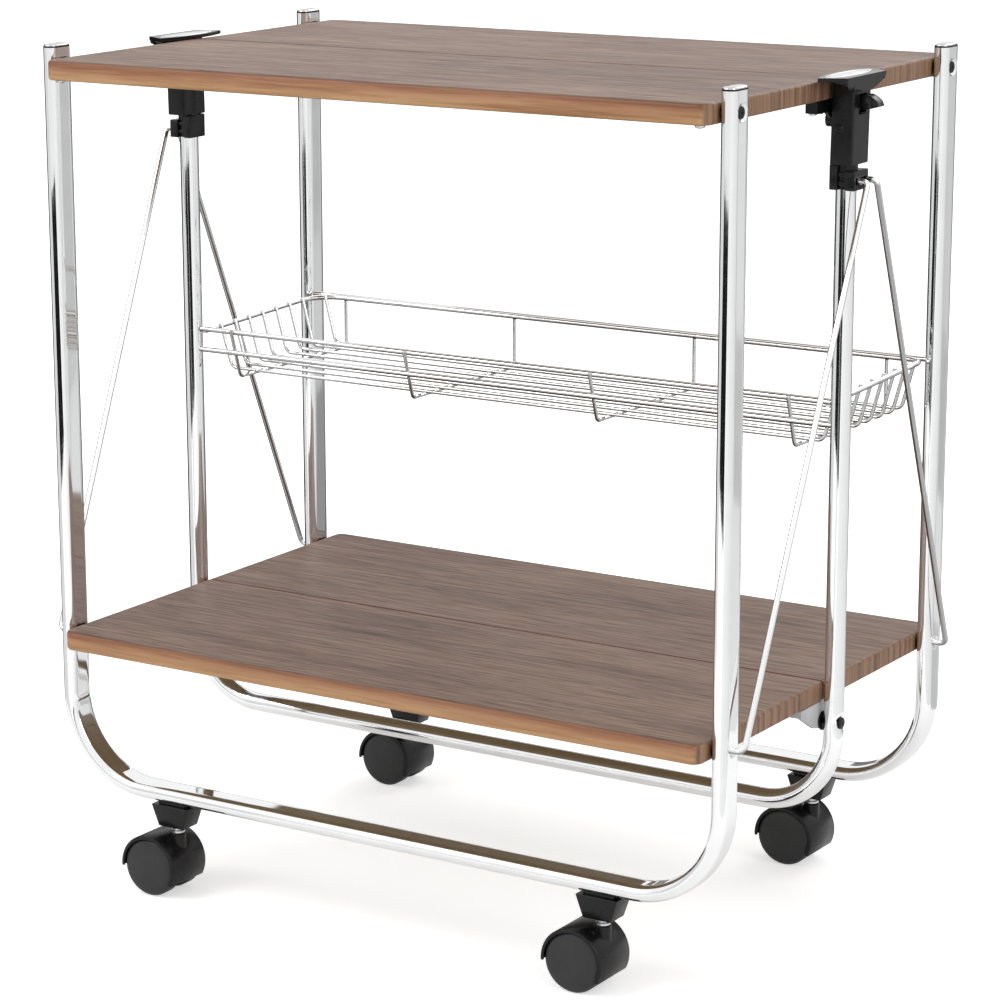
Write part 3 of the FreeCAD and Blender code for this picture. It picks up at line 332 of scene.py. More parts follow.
def mirrored(bm):
    """Add the mirror image across the middle of the object."""
    bmesh.ops.mirror(bm, geom=whole(bm), axis="X", merge_dist=hair)


def pushed(bm, edges, x=0.0, y=0.0, z=0.0):
    """Draw a ring of edges out into a band, and give back the new ring."""
    made = bmesh.ops.extrude_edge_only(bm, edges=edges)["geom"]
    bmesh.ops.translate(bm, verts=picked(made, bmesh.types.BMVert), vec=(x, y, z))
    return picked(made, bmesh.types.BMEdge)


def swung(bm, edges, centre, axis, angle, steps):
    """Turn a ring of edges about a centre into a bend, and give back the last ring."""
    verts = list(verts_of(edges))
    made = bmesh.ops.spin(
        bm, geom=verts + edges, cent=centre, axis=axis, dvec=(0, 0, 0),
        angle=math.radians(angle), steps=steps)["geom_last"]
    return picked(made, bmesh.types.BMEdge)


def finished(name, bm, body, stood_for, finish, *paints, smooth=32.0):
    """Turn a piece in millimetres into an object that rides on a body and stands for CAD nodes."""
    bmesh.ops.remove_doubles(bm, verts=bm.verts, dist=merge_gap)
    bmesh.ops.recalc_face_normals(bm, faces=bm.faces)
    bmesh.ops.scale(bm, verts=bm.verts, vec=(MM, MM, MM))
    mesh = bpy.data.meshes.new(name)
    bm.to_mesh(mesh)
    bm.free()
    mesh.shade_smooth()
    mesh.set_sharp_from_angle(angle=math.radians(smooth))
    for paint in paints:
        mesh.materials.append(paint)
    made = bpy.data.objects.new(name, mesh)
    scene.collection.objects.link(made)
    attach(made, body)
    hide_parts(*stood_for)


def fill(bm, ring):
    bmesh.ops.edgeloop_fill(bm, edges=ring)


def oval_ring(bm, depth, width, place, cuts=0):
    """Flat-oval ring of edges round an upright line, long along Y."""
    known = set(bm.verts)
    verts = bmesh.ops.create_circle(bm, segments=oval_segments, radius=width / 2)["verts"]
    bmesh.ops.rotate(bm, verts=verts, matrix=Matrix.Rotation(math.pi / oval_segments, 3, "Z"))
    for half in (1, -1):
        moved = [v for v in verts if v.co.y * half > 0]
        bmesh.ops.translate(bm, verts=moved, vec=(0, half * (depth - width) / 2, 0))
    if cuts:
        flats = [e for e in bm.edges if e.calc_length() > (depth - width) / 2]
        bmesh.ops.subdivide_edges(bm, edges=flats, cuts=cuts)
    ring = [v for v in bm.verts if v not in known]
    bmesh.ops.translate(bm, verts=ring, vec=place)
    return edges_of(ring)


def down_stops(top, low, dense):
    """Heights of a post's rings from the top down, close together round the pressed places."""
    stops = {float(low)}
    for centre in dense:
        stops.update(
            centre + step * press_pitch for step in range(-press_rings, press_rings + 1))
    height = top
    while height > low:
        stops.add(float(height))
        height -= post_pitch
    return sorted((stop for stop in stops if low <= stop < top), reverse=True)


def bent_frame(bm, edges, half_spacing, y, top, bar, bend, dense):
    """Post, bend and half of the floor bar, mirrored into the whole U."""
    fill(bm, edges)
    height = top
    for stop in down_stops(top, bar + bend, dense):
        edges = pushed(bm, edges, z=stop - height)
        height = stop
    centre = (half_spacing - bend, y, bar + bend)
    edges = swung(bm, edges, centre, (0, 1, 0), 90, tube_bend_steps)
    for _ in range(bar_steps):
        edges = pushed(bm, edges, x=-(half_spacing - bend) / bar_steps)
    mirrored(bm)


def pressed(bm, half_spacing, y, z, depth, flat, radius):
    """Press the posts' outer faces in round a screw: level under its head, then fading out."""
    for vert in bm.verts:
        reach = (math.hypot(vert.co.y - y, vert.co.z - z) - flat) / (radius - flat)
        if reach < 1 and abs(vert.co.x) > half_spacing:
            fade = 1 - max(reach, 0) ** 2 * (3 - 2 * max(reach, 0))
            vert.co.x -= math.copysign(depth * fade, vert.co.x)


for side, y in frames:
    bm = bmesh.new()
    ring = oval_ring(bm, oval_depth, oval_width, (post_x, y, post_top), oval_cuts)
    bent_frame(bm, ring, post_x, y, post_top, outer_bar, outer_bend, (top_pivot, lower_pivot))
    for z, depth, flat, radius in dimples:
        pressed(bm, post_x, y, z, depth, flat, radius)
    finished(
        f"{side}_bent_tube", bm, f"{side}_frame", [f"{side}_frame_tube"], "chrome_tube", chrome,
        smooth=tube_smooth)


# Post caps
# Plated plugs pressed into the post ends: a low dome over a thin black seating line.
cap_round, cap_line, cap_inset, cap_ledge = 1.5, 1.3, 0.1, 0.4
cap_steps, cap_crown = 6, ((0.6, 0.25), (0.3, 0.4))
cap_metal = bright_metal("cap plate", (0.66, 0.66, 0.665), 0.12, 0.22, 70.0, 0.01)

grain, given, result = effect(
    "pebbled grain",
    [("Scale", "Float", 2200.0), ("Relief", "Float", 0.1), ("Gloss", "Float", 0.4)],
    [("Roughness", "Float"), ("Normal", "Vector"), ("Tone", "Float")])
place = add_node(grain, "ShaderNodeTexCoord").outputs["Object"]
pebbles = noise(grain, place, given.outputs["Scale"], 2.0)
drift = noise(grain, place, 55.0, 4.0)
feed(grain, result, {
    "Roughness": maths(
        grain, "ADD", given.outputs["Gloss"], mapped(grain, drift, 0.3, 0.7, -0.05, 0.05)),
    "Normal": bumped(grain, given.outputs["Relief"], 0.0004, pebbles),
    "Tone": mapped(grain, drift, 0.3, 0.7, 0.88, 1.12)})


def moulded(name, colour, gloss, coarse, relief):
    """Moulded plastic: fine pebbled grain, and a sheen that varies slowly."""
    paint, tree, shader = new_paint(name)
    shader.inputs["Specular IOR Level"].default_value = 0.3
    values = {"Scale": coarse, "Relief": relief, "Gloss": gloss}
    coat(tree, shader, colour, add_node(tree, "ShaderNodeGroup", values, node_tree=grain))
    return paint


black = moulded("black moulding", (0.0055, 0.0055, 0.006), 0.26, 2600.0, 0.12)


def oval_drawn(bm, edges, centre, radius, z):
    """Draw an oval ring on to a new radius of its round ends and a new height."""
    made = bmesh.ops.extrude_edge_only(bm, edges=edges)["geom"]
    for vert in picked(made, bmesh.types.BMVert):
        end_y = centre[1] + math.copysign((oval_depth - oval_width) / 2, vert.co.y - centre[1])
        arm = Vector((vert.co.x - centre[0], vert.co.y - end_y, 0)).normalized() * radius
        vert.co = Vector((centre[0] + arm.x, end_y + arm.y, z))
    return picked(made, bmesh.types.BMEdge)


for side, y in frames:
    bm = bmesh.new()
    seat = oval_width / 2 - cap_inset
    shoulder = post_top + cap_line
    ring = oval_ring(
        bm, oval_depth - 2 * cap_inset, oval_width - 2 * cap_inset, (post_x, y, post_top - cap_line))
    fill(bm, ring)
    ring = oval_drawn(bm, ring, (post_x, y), seat, shoulder)
    for face in bm.faces:
        face.material_index = 1
    for step in range(cap_steps + 1):
        angle = math.pi / 2 * step / cap_steps
        radius = seat - cap_ledge - cap_round * (1 - math.cos(angle))
        ring = oval_drawn(bm, ring, (post_x, y), radius, shoulder + cap_round * math.sin(angle))
    for share, rise in cap_crown:
        ring = oval_drawn(
            bm, ring, (post_x, y), (oval_width / 2 - cap_round) * share,
            shoulder + cap_round + rise)
    fill(bm, ring)
    for face in bm.faces:
        if face.calc_center_median().z > shoulder + hair:
            face.material_index = 0
    mirrored(bm)
    finished(
        f"{side}_post_caps", bm, f"{side}_frame", [f"{side}_end_caps"], "cap_chrome",
        cap_metal, black)


# Castor sockets
# Black moulded sockets pushed on under the floor bars: a short neck and a tapered block with
# crisp edges that holds the castor's stem.
bar_underside = outer_bar - oval_width / 2
castor_x = 206
socket_foot_z, socket_neck_z = 59.5, 78.4
socket_top, socket_foot, socket_neck = (37, 24), (25.5, 20), (27, 17)
socket_edge, neck_edge, neck_sunk, bar_sunk = 0.9, 0.5, 1, 0.4


def tapered_block(bm, place, low, high, foot, top):
    """Block between two heights with its own length and depth at each."""
    verts = bmesh.ops.create_cube(bm, size=1)["verts"]
    for vert in verts:
        length, depth = top if vert.co.z > 0 else foot
        height = high if vert.co.z > 0 else low
        vert.co = Vector((place[0] + vert.co.x * length, place[1] + vert.co.y * depth, height))
    return verts


def rounded(bm, edges, offset, segments=3):
    bmesh.ops.bevel(
        bm, geom=edges, affect="EDGES", offset=offset, segments=segments, profile=0.5, material=-1)


for side, y in frames:
    bm = bmesh.new()
    for x in (-castor_x, castor_x):
        block = tapered_block(bm, (x, y), socket_foot_z, socket_neck_z, socket_foot, socket_top)
        rounded(bm, edges_of(block), socket_edge)
        neck = tapered_block(
            bm, (x, y), socket_neck_z - neck_sunk, bar_underside + bar_sunk, socket_neck, socket_neck)
        rounded(bm, edges_of(neck), neck_edge, 2)
    finished(
        f"{side}_sockets", bm, f"{side}_frame", [f"{side}_castor_sockets"], "black_plastic", black)


# Pivot screws
# Blackened pan-head screws with a cross recess, sunk in the pressed dimples of the posts.
head_radius, head_height, pin_radius, pivot_pin_in = 4.75, 1.5, 2.5, 290
head_shares = ((1, 0.45), (0.96, 0.68), (0.86, 0.86), (0.7, 0.96), (0.55, 1))
recess_depth, recess_arm_share, recess_web_share, recess_taper_share = 1.0, 0.5, 0.17, 0.72
screw_steel = bright_metal("blackened steel", (0.035, 0.035, 0.038), 0.22, 0.34, 90.0, 0.03)


def drawn_to(bm, edges, radius, height):
    """Draw a round ring on to a new radius and height."""
    edges = pushed(bm, edges)
    for vert in verts_of(edges):
        flat = Vector((vert.co.x, vert.co.y, 0)).normalized() * radius
        vert.co = flat + Vector((0, 0, height))
    return edges


def pan_head(bm, place, side, radius, height):
    """Pan head with a cross recess that faces along X or Y."""
    verts = bmesh.ops.create_circle(bm, segments=40, radius=radius)["verts"]
    ring = edges_of(verts)
    known = set(bm.verts) - set(verts)
    fill(bm, ring)
    for reach, rise in head_shares:
        ring = drawn_to(bm, ring, radius * reach, height * rise)
    for drop, spread in ((0, 1), (recess_depth, recess_taper_share)):
        ring = pushed(bm, ring)
        for vert in verts_of(ring):
            bearing = math.atan2(vert.co.y, vert.co.x)
            arm = recess_arm_share if abs(math.cos(2 * bearing)) > 0.94 else recess_web_share
            flat = Vector((math.cos(bearing), math.sin(bearing), 0)) * radius * arm * spread
            vert.co = flat + Vector((0, 0, height - drop))
    fill(bm, ring)
    made = list(set(bm.verts) - known)
    facing = Vector(side).to_track_quat("Z", "Y").to_matrix()
    bmesh.ops.rotate(bm, verts=made, matrix=facing)
    bmesh.ops.translate(bm, verts=made, vec=place)


def lying_bar(bm, radius, near, far, y, z, segments=24):
    """Round bar along X between two places."""
    verts = bmesh.ops.create_cone(
        bm, cap_ends=True, segments=segments, radius1=radius, radius2=radius,
        depth=abs(far - near))["verts"]
    bmesh.ops.rotate(bm, verts=verts, matrix=Matrix.Rotation(math.pi / 2, 3, "Y"))
    bmesh.ops.translate(bm, verts=verts, vec=((near + far) / 2, y, z))
    return verts


outer_face = post_x + oval_width / 2 - dimples[0][1]
for side, y in frames:
    bm = bmesh.new()
    for end in (-1, 1):
        pan_head(bm, (end * outer_face, y, top_pivot), (end, 0, 0), head_radius, head_height)
        lying_bar(bm, pin_radius, end * pivot_pin_in, end * outer_face, y, top_pivot)
    finished(
        f"{side}_pivot_heads", bm, f"{side}_frame", [f"{side}_pivot_screws"], "black_steel",
        screw_steel)


# Shelf boards
# Four leaves of veneered board with a fine straight grain along the trolley. The lipped
# edges are paler and warmer, with painted light low on the front and rear edges and painted
# shade at their tops; the ends have painted shade too. The underside is a plain tan.
board_half = 8
wood, given, result = effect(
    "straight grain", [("Offset", "Vector", None), ("Middle", "Float", 0.686)],
    [("Color", "Color"), ("Roughness", "Float"), ("Height", "Float")])
coords = add_node(wood, "ShaderNodeTexCoord")
shifted = add_node(
    wood, "ShaderNodeVectorMath", {0: coords.outputs["Object"], 1: given.outputs["Offset"]},
    operation="ADD").outputs["Vector"]


def stretched_noise(scale, detail, *size):
    """Noise drawn out by a scale of its own along each axis."""
    drawn = add_node(wood, "ShaderNodeVectorMath", {0: shifted, 1: size}, operation="MULTIPLY")
    return noise(wood, drawn.outputs["Vector"], scale, detail, 0.6)


def mixed_colour(tree, share, first, second, blend="MIX"):
    made = add_node(
        tree, "ShaderNodeMix", {0: share, 6: first, 7: second}, data_type="RGBA", blend_type=blend)
    return made.outputs[2]


bands = stretched_noise(4.0, 2.0, 0.7, 3.4, 3.4)
streaks = stretched_noise(20.0, 5.0, 0.30, 12.0, 12.0)
pores = stretched_noise(60.0, 3.0, 0.5, 7.0, 7.0)
figure = maths(wood, "MULTIPLY_ADD", bands, 0.55, maths(wood, "MULTIPLY", streaks, 0.75))
face_tone = ramp(
    wood, figure, (0.46, (0.104, 0.053, 0.034)), (0.60, (0.178, 0.101, 0.067)),
    (0.70, (0.230, 0.137, 0.092)), (0.84, (0.300, 0.190, 0.134)))
fibres = ramp(wood, pores, (0.34, 0.64), (0.46, 0.96), (0.66, 1.14))
face_tone = mixed_colour(wood, 1.0, face_tone, fibres, "MULTIPLY")
edge_streaks = stretched_noise(15.0, 3.0, 0.5, 12.0, 14.0)
edge_tone = ramp(
    wood, edge_streaks, (0.30, (0.30, 0.135, 0.062)), (0.46, (0.42, 0.215, 0.112)),
    (0.60, (0.50, 0.275, 0.150)), (0.75, (0.36, 0.175, 0.086)))
position = add_node(wood, "ShaderNodeSeparateXYZ", {"Vector": coords.outputs["Object"]})
seam = ramp(
    wood, maths(wood, "MULTIPLY", maths(wood, "ABSOLUTE", position.outputs["Y"]), 200.0),
    (0.0, (0.60, 0.36, 0.29)), (0.3, (0.66, 0.40, 0.33)), (0.5, (1.0, 1.0, 1.0)))
# Painted light and shade on the front and rear edges: lighter towards the bottom of each edge, darker
# towards its top.
up_share = mapped(
    wood, maths(wood, "SUBTRACT", position.outputs["Z"], given.outputs["Middle"]),
    -board_half * MM, board_half * MM, 0.0, 1.0)
edge_painted_light_and_shade = ramp(
    wood, up_share, (0.0, (1.15, 1.25, 1.10)), (0.5, (1.0, 1.0, 0.96)), (0.78, (0.78, 0.66, 0.64)),
    (0.97, (0.48, 0.35, 0.32)))
edge_tone = mixed_colour(wood, 1.0, edge_tone, edge_painted_light_and_shade, "MULTIPLY")
# End faces: their own upright streaks, in colours painted darker than the front and rear edges as
# painted shade.
end_streaks = stretched_noise(30.0, 4.0, 8.0, 9.0, 0.35)
end_grain_and_painted_shade = ramp(
    wood, end_streaks, (0.34, (0.150, 0.078, 0.044)), (0.5, (0.255, 0.142, 0.082)),
    (0.66, (0.335, 0.195, 0.112)))
under_tone = ramp(wood, streaks, (0.35, (0.185, 0.118, 0.052)), (0.65, (0.235, 0.158, 0.076)))
facing = add_node(wood, "ShaderNodeSeparateXYZ", {"Vector": coords.outputs["Normal"]})
not_top = mapped(wood, facing.outputs["Z"], 0.72, 0.86, 1.0, 0.0)
at_end = mapped(wood, maths(wood, "ABSOLUTE", facing.outputs["X"]), 0.45, 0.75, 0.0, 1.0)
at_under = mapped(wood, facing.outputs["Z"], -0.86, -0.72, 1.0, 0.0)
edge_all = mixed_colour(wood, at_end, edge_tone, end_grain_and_painted_shade)
board_tone = mixed_colour(wood, not_top, face_tone, edge_all)
board_tone = mixed_colour(wood, at_under, board_tone, under_tone)
feed(wood, result, {
    "Color": mixed_colour(wood, 1.0, board_tone, seam, "MULTIPLY"),
    "Roughness": mapped(wood, pores, 0.35, 0.65, 0.52, 0.40), "Height": pores})


def veneer(name, offset, middle):
    """Veneered board whose figure starts at its own place."""
    paint, tree, shader = new_paint(name)
    figure = add_node(
        tree, "ShaderNodeGroup", {"Offset": offset, "Middle": middle}, node_tree=wood)
    feed(tree, shader, {
        "Base Color": figure.outputs["Color"], "Roughness": figure.outputs["Roughness"],
        "Specular IOR Level": 0.36,
        "Normal": bumped(tree, 0.12, 0.0004, figure.outputs["Height"])})
    return paint


def dressed(node, paint):
    """Give a CAD piece its finish."""
    item = nodes[node]
    item.data.materials.clear()
    item.data.materials.append(paint)


for side, level, offset, middle in (
        ("front", "top", (0.3, 0.1, 0.0), top_pivot), ("rear", "top", (1.7, 0.9, 0.4), top_pivot),
        ("front", "lower", (3.1, 2.3, 0.8), lower_pivot),
        ("rear", "lower", (4.4, 3.2, 1.3), lower_pivot)):
    paint = veneer(f"{side} {level} veneer", offset, middle * MM)
    dressed(f"{side}_{level}_board", paint)


# Spacers, seam brackets and board screws
# Black moulded spacers between boards and posts, black hinge brackets under the upper seam
# and pale grey ones under the lower seam, each held by small zinc-plated screws.
grey = moulded("pale grey moulding", (0.55, 0.55, 0.56), 0.38, 2400.0, 0.08)
zinc = bright_metal("zinc plate", (0.66, 0.66, 0.67), 0.2, 0.32, 110.0, 0.03)
for side in ("front", "rear"):
    dressed(f"{side}_spacers", black)
    dressed(f"{side}_top_brackets", black)
    dressed(f"{side}_lower_brackets", grey)
    dressed(f"{side}_top_board_screws", zinc)
    dressed(f"{side}_lower_board_screws", zinc)


# Middle frame
# Round chromed tube bent into a narrower U, with both seams hung on it. The posts are pressed
# flat round the lower hinge screws.
middle_x, middle_tube = 312, 16
middle_top, middle_bar, middle_bend = 692, 115, 62
top_hinge, lower_hinge = 662, 188
hinge_press, hinge_flat, hinge_fade = 1.6, 4.9, 9.0
bm = bmesh.new()
verts = bmesh.ops.create_circle(bm, segments=64, radius=middle_tube / 2)["verts"]
bmesh.ops.translate(bm, verts=verts, vec=(middle_x, 0, middle_top))
bent_frame(
    bm, edges_of(verts), middle_x, 0, middle_top, middle_bar, middle_bend, (lower_hinge,))
pressed(bm, middle_x, 0, lower_hinge, hinge_press, hinge_flat, hinge_fade)
finished(
    "middle_bent_tube", bm, "middle_frame", ["middle_frame_tube"], "chrome_tube", chrome,
    smooth=tube_smooth)


# Hinge fasteners of the middle posts
# Blackened hinge screws with black moulded washers between the posts and the boards' ears.
hinge_pin_in, top_hinge_tip = 295.4, 303
washer_x, washer_radius, washer_thick, washer_edge = 302.75, 8, 0.9, 0.25
bm = bmesh.new()
hinge_face = middle_x + middle_tube / 2 - hinge_press
for end in (-1, 1):
    pan_head(bm, (end * hinge_face, 0, lower_hinge), (end, 0, 0), head_radius, head_height)
    for z, tip in ((lower_hinge, hinge_face), (top_hinge, top_hinge_tip)):
        lying_bar(bm, pin_radius, end * hinge_pin_in, end * tip, 0, z)
        washer = lying_bar(
            bm, washer_radius, end * washer_x - washer_thick / 2,
            end * washer_x + washer_thick / 2, 0, z, 48)
        rounded(bm, edges_of(washer), washer_edge, 2)
for face in bm.faces:
    if abs(abs(face.calc_center_median().x) - washer_x) < 0.5:
        face.material_index = 1
finished(
    "hinge_screws", bm, "middle_frame", ["hinge_fasteners"], "black_steel", screw_steel, black)


# Handle housings
# Black moulded housings clamped round the tops of the middle posts, with rounded upright
# edges, a slot for the release lever in the outer face and a clamp screw in the front.
housing_in, housing_out, housing_half = 305.6, 324.4, 14.5
housing_low, housing_high = 629.5, 694.6
housing_sole, housing_edge, housing_rim = 1.2, 1.8, 0.7
slot_half, slot_low, slot_high, slot_depth = 6.8, 666.8, 684.0, 4.0
slot_lip, slot_lip_rise = 0.9, 0.35
column_x, column_radius, column_top = 308.4, 5.9, 680
clamp_height = 657


def turned(bm, profile, place, axis, closed=False, steps=48):
    """Spin a (radius, height) profile round an axis through a place."""
    known = set(bm.verts)
    spots = [bm.verts.new((radius, 0, height)) for radius, height in profile]
    edges = [bm.edges.new(ends) for ends in zip(spots, spots[1:])]
    if closed:
        edges.append(bm.edges.new((spots[-1], spots[0])))
    bmesh.ops.spin(
        bm, geom=spots + edges, cent=(0, 0, 0), axis=(0, 0, 1), dvec=(0, 0, 0),
        angle=math.tau, steps=steps, use_merge=True)
    made = [v for v in bm.verts if v not in known]
    matrix = Vector(axis).to_track_quat("Z", "Y").to_matrix()
    bmesh.ops.rotate(bm, verts=made, matrix=matrix)
    bmesh.ops.translate(bm, verts=made, vec=place)


def both_ends(name, build, stood_for, finish, *paints, body=None, smooth=32.0):
    """Build a piece for the right end and its mirror image for the left end."""
    for end, sign in (("right", 1), ("left", -1)):
        bm = bmesh.new()
        build(bm)
        bmesh.ops.scale(bm, verts=bm.verts, vec=(sign, 1, 1))
        carrier = body.format(end) if body else "middle_frame"
        finished(
            f"{end}_{name}", bm, carrier, [item.format(end) for item in stood_for], finish,
            *paints, smooth=smooth)


def sunk_slot(bm, front, back, low, high, depth, lip=0):
    """Sink a slot into the outer face between two places across and two heights."""
    for place, square_to in (
            ((0, front, 0), (0, 1, 0)), ((0, back, 0), (0, 1, 0)),
            ((0, 0, low), (0, 0, 1)), ((0, 0, high), (0, 0, 1))):
        bmesh.ops.bisect_plane(bm, geom=whole(bm), plane_co=place, plane_no=square_to)
    mouth = [
        face for face in bm.faces
        if face.normal.x > 0.9 and front < face.calc_center_median().y < back
        and low < face.calc_center_median().z < high]
    if lip > 0:
        bmesh.ops.inset_region(bm, faces=mouth, thickness=lip, depth=slot_lip_rise)
    sunk = bmesh.ops.extrude_face_region(bm, geom=mouth)["geom"]
    bmesh.ops.delete(bm, geom=mouth, context="FACES")
    bmesh.ops.translate(bm, verts=picked(sunk, bmesh.types.BMVert), vec=(-depth, 0, 0))


def housing(bm):
    size = (housing_out - housing_in, 2 * housing_half)
    block = tapered_block(
        bm, ((housing_in + housing_out) / 2, 0), housing_low, housing_high, size, size)
    for vert in block:
        if vert.co.z < housing_high - 1:
            vert.co.x -= housing_sole
    upright = [e for e in edges_of(block) if abs(e.verts[0].co.z - e.verts[1].co.z) > 10]
    rounded(bm, upright, housing_edge, 4)
    rims = [e for e in bm.edges if abs(e.verts[0].co.z - e.verts[1].co.z) < 1]
    rounded(bm, rims, housing_rim, 3)
    sunk_slot(bm, -slot_half, slot_half, slot_low, slot_high, slot_depth, slot_lip)
    dome = [
        (column_radius * math.sin(angle), column_top - column_radius * (1 - math.cos(angle)))
        for angle in (math.radians(step) for step in range(90, -1, -15))]
    turned(bm, [(0, housing_low), (column_radius, housing_low)] + dome, (column_x, 0, 0), (0, 0, 1))


both_ends("housing", housing, ["{}_handle_housing"], "black_plastic", black)


# Clamp screws of the housings
# Small blackened screws, each in a low moulded ring on its housing's front face.
clamp_radius, clamp_head, clamp_lift = 2.5, 0.6, 0.05
clamp_ring = ((2.6, -0.4), (2.6, 0.25), (2.9, 0.55), (3.3, 0.55), (3.7, 0.1), (3.7, -0.4))
bm = bmesh.new()
for x in (-middle_x, middle_x):
    pan_head(
        bm, (x, -housing_half - clamp_lift, clamp_height), (0, -1, 0), clamp_radius, clamp_head)
heads = set(bm.faces)
for x in (-middle_x, middle_x):
    turned(bm, clamp_ring, (x, -housing_half, clamp_height), (0, -1, 0), closed=True)
for face in bm.faces:
    face.material_index = 0 if face in heads else 1
finished(
    "clamp_screws", bm, "middle_frame", ["housing_screws"], "black_steel", screw_steel, black)


# Hand pads
# Black moulded pads over the middle posts: a leaf-shaped plate that narrows outwards, with a
# hollow lip that hangs from its outer edge, deepest in the middle.
pad_in, pad_out, pad_bow = 300.0, 327.6, 7.6
pad_low, pad_high, pad_lip = 694.4, 697.3, 10.0
pad_in_half, pad_out_half, pad_lean, pad_edge = 42.4, 32, 2.6, 0.9
lip_start_share, lip_end_power, lip_round_power = 0.4, 2.4, 0.6


def two_skins(bm, x_steps, y_steps):
    """Unit grid doubled into a lower and an upper skin, and give back the upper verts."""
    bmesh.ops.create_grid(bm, x_segments=x_steps, y_segments=y_steps, size=0.5)
    raised = bmesh.ops.extrude_face_region(bm, geom=bm.faces[:])["geom"]
    return set(picked(raised, bmesh.types.BMVert))


def rim_rounded(bm, sharp, offset, segments):
    """Round the edges between faces that meet at more than an angle in radians."""
    rim = [e for e in bm.edges if len(e.link_faces) == 2 and e.calc_face_angle(0) > sharp]
    rounded(bm, rim, offset, segments)


def pad(bm):
    upper = two_skins(bm, 14, 44)
    for vert in bm.verts:
        along, across = vert.co.x + 0.5, 2 * vert.co.y
        x = pad_in + pad_bow * across ** 2 * (1 - along) + (pad_out - pad_in) * along
        y = across * (pad_in_half + (pad_out_half - pad_in_half) * along)
        z = pad_high
        if vert not in upper:
            depth = (1 - abs(across) ** lip_end_power) ** lip_round_power
            lip_share = max(along - lip_start_share, 0) / (1 - lip_start_share)
            z = pad_low - pad_lip * depth * lip_share
            x -= pad_lean * depth * along
        vert.co = Vector((x, y, z))
    rim_rounded(bm, 0.7, pad_edge, 4)


pad_black = moulded("pad moulding", (0.0055, 0.0055, 0.006), 0.16, 2600.0, 0.08)
both_ends("pad", pad, ["{}_handle_pad"], "black_plastic", pad_black, smooth=40.0)


# Oval inserts of the pads
# Thin ovals of brushed metal with a turned-up bright border, let into the pads. They are bare.
insert_length, insert_width, insert_low = 71, 16, 696.3
insert_profile = (
    (1, 0), (1, 0.9), (0.97, 1.2), (0.90, 1.15), (0.86, 0.95), (0.6, 1.35), (0.3, 1.6))


def brushed(name, colour):
    """Metal brushed along the oval: fine lines in its gloss and relief."""
    paint, tree, shader = new_paint(name)
    place = add_node(tree, "ShaderNodeTexCoord").outputs["Object"]
    drawn = add_node(
        tree, "ShaderNodeVectorMath", {0: place, 1: (3000, 60, 60)}, operation="MULTIPLY")
    lines = noise(tree, drawn.outputs["Vector"], 1.0, 3.0)
    feed(tree, shader, {
        "Metallic": 1.0, "Roughness": mapped(tree, lines, 0.3, 0.7, 0.26, 0.38),
        "Base Color": ramp(tree, lines, (0.3, tuple(0.9 * part for part in colour)), (0.7, colour)),
        "Normal": bumped(tree, 0.08, 0.0002, lines)})
    return paint


silver = brushed("brushed silver", (0.80, 0.80, 0.81))
bm = bmesh.new()
for x in (-middle_x, middle_x):
    ring = edges_of(bmesh.ops.create_circle(bm, segments=72, radius=1)["verts"])
    fill(bm, ring)
    for share, z in insert_profile:
        ring = drawn_to(bm, ring, share, z)
    fill(bm, ring)
    made = [v for v in bm.verts if v.co.length < 3]
    for vert in made:
        vert.co = Vector((
            x + vert.co.x * insert_width / 2, vert.co.y * insert_length / 2, insert_low + vert.co.z))
finished("pad_inserts", bm, "middle_frame", ["handle_inserts"], "silver_insert", silver)


# Release levers
# Black moulded paddles that curve out of the housings' slots like a quarter of a ring.
lever_half, lever_hollow, lever_edge = 5.1, 0.9, 0.4
lever_top = (
    (322.2, 681.6), (325.4, 682.8), (330.0, 683.2), (334.6, 681.6), (338.2, 678.6), (340.0, 674.8))
lever_under = (
    (322.2, 672.4), (325.4, 671.6), (329.5, 671.4), (333.4, 672.2), (336.8, 673.2), (339.6, 674.0))
lever_steps = len(lever_top) - 1


def lever(bm):
    upper = two_skins(bm, lever_steps, 6)
    for vert in bm.verts:
        step, across = round((vert.co.x + 0.5) * lever_steps), 2 * vert.co.y
        x, z = (lever_top if vert in upper else lever_under)[step]
        z -= lever_hollow * (1 - across ** 2) * (vert in upper)
        vert.co = Vector((x, across * lever_half, z))
    rim_rounded(bm, 0.9, lever_edge, 3)


both_ends(
    "lever", lever, ["{}_release_lever"], "black_plastic", black, body="{}_lever", smooth=40.0)
dressed("lever_pins", screw_steel)
dressed("lever_springs", screw_steel)


# Sliders
# Black moulded blocks that run on the middle posts, split by a slot in front. They hold the
# struts' hooked ends and carry the lower end of the release column.
slider_low, slider_high, slider_step = 610, 629.2, 625
slider_half, slider_back = 10.9, 13.3
slider_in, split_near, split_far, slider_out = 302.8, 309.7, 315.9, 324
hook_low, hook_high, hook_front, hook_rear, hook_depth = 614.2, 619.8, -8.2, 12.2, 3.4
web_in, web_out, web_front, web_rear, web_drop = 309, 316.6, -7.6, 10.5, 1
tooth_front, tooth_rear, tooth_heights = -9.6, -7, ((613.6, 616.8), (620.4, 623.4))
sleeve_radius, block_edge, web_edge, web_lift, sleeve_lift = 8.75, 0.7, 0.5, 0.2, 0.5


def box(bm, near, far, front, back, low, high, edge):
    """Block between two places along each axis, with small rounded edges."""
    size = (far - near, back - front)
    block = tapered_block(bm, ((near + far) / 2, (front + back) / 2), low, high, size, size)
    rounded(bm, edges_of(block), edge, 2)


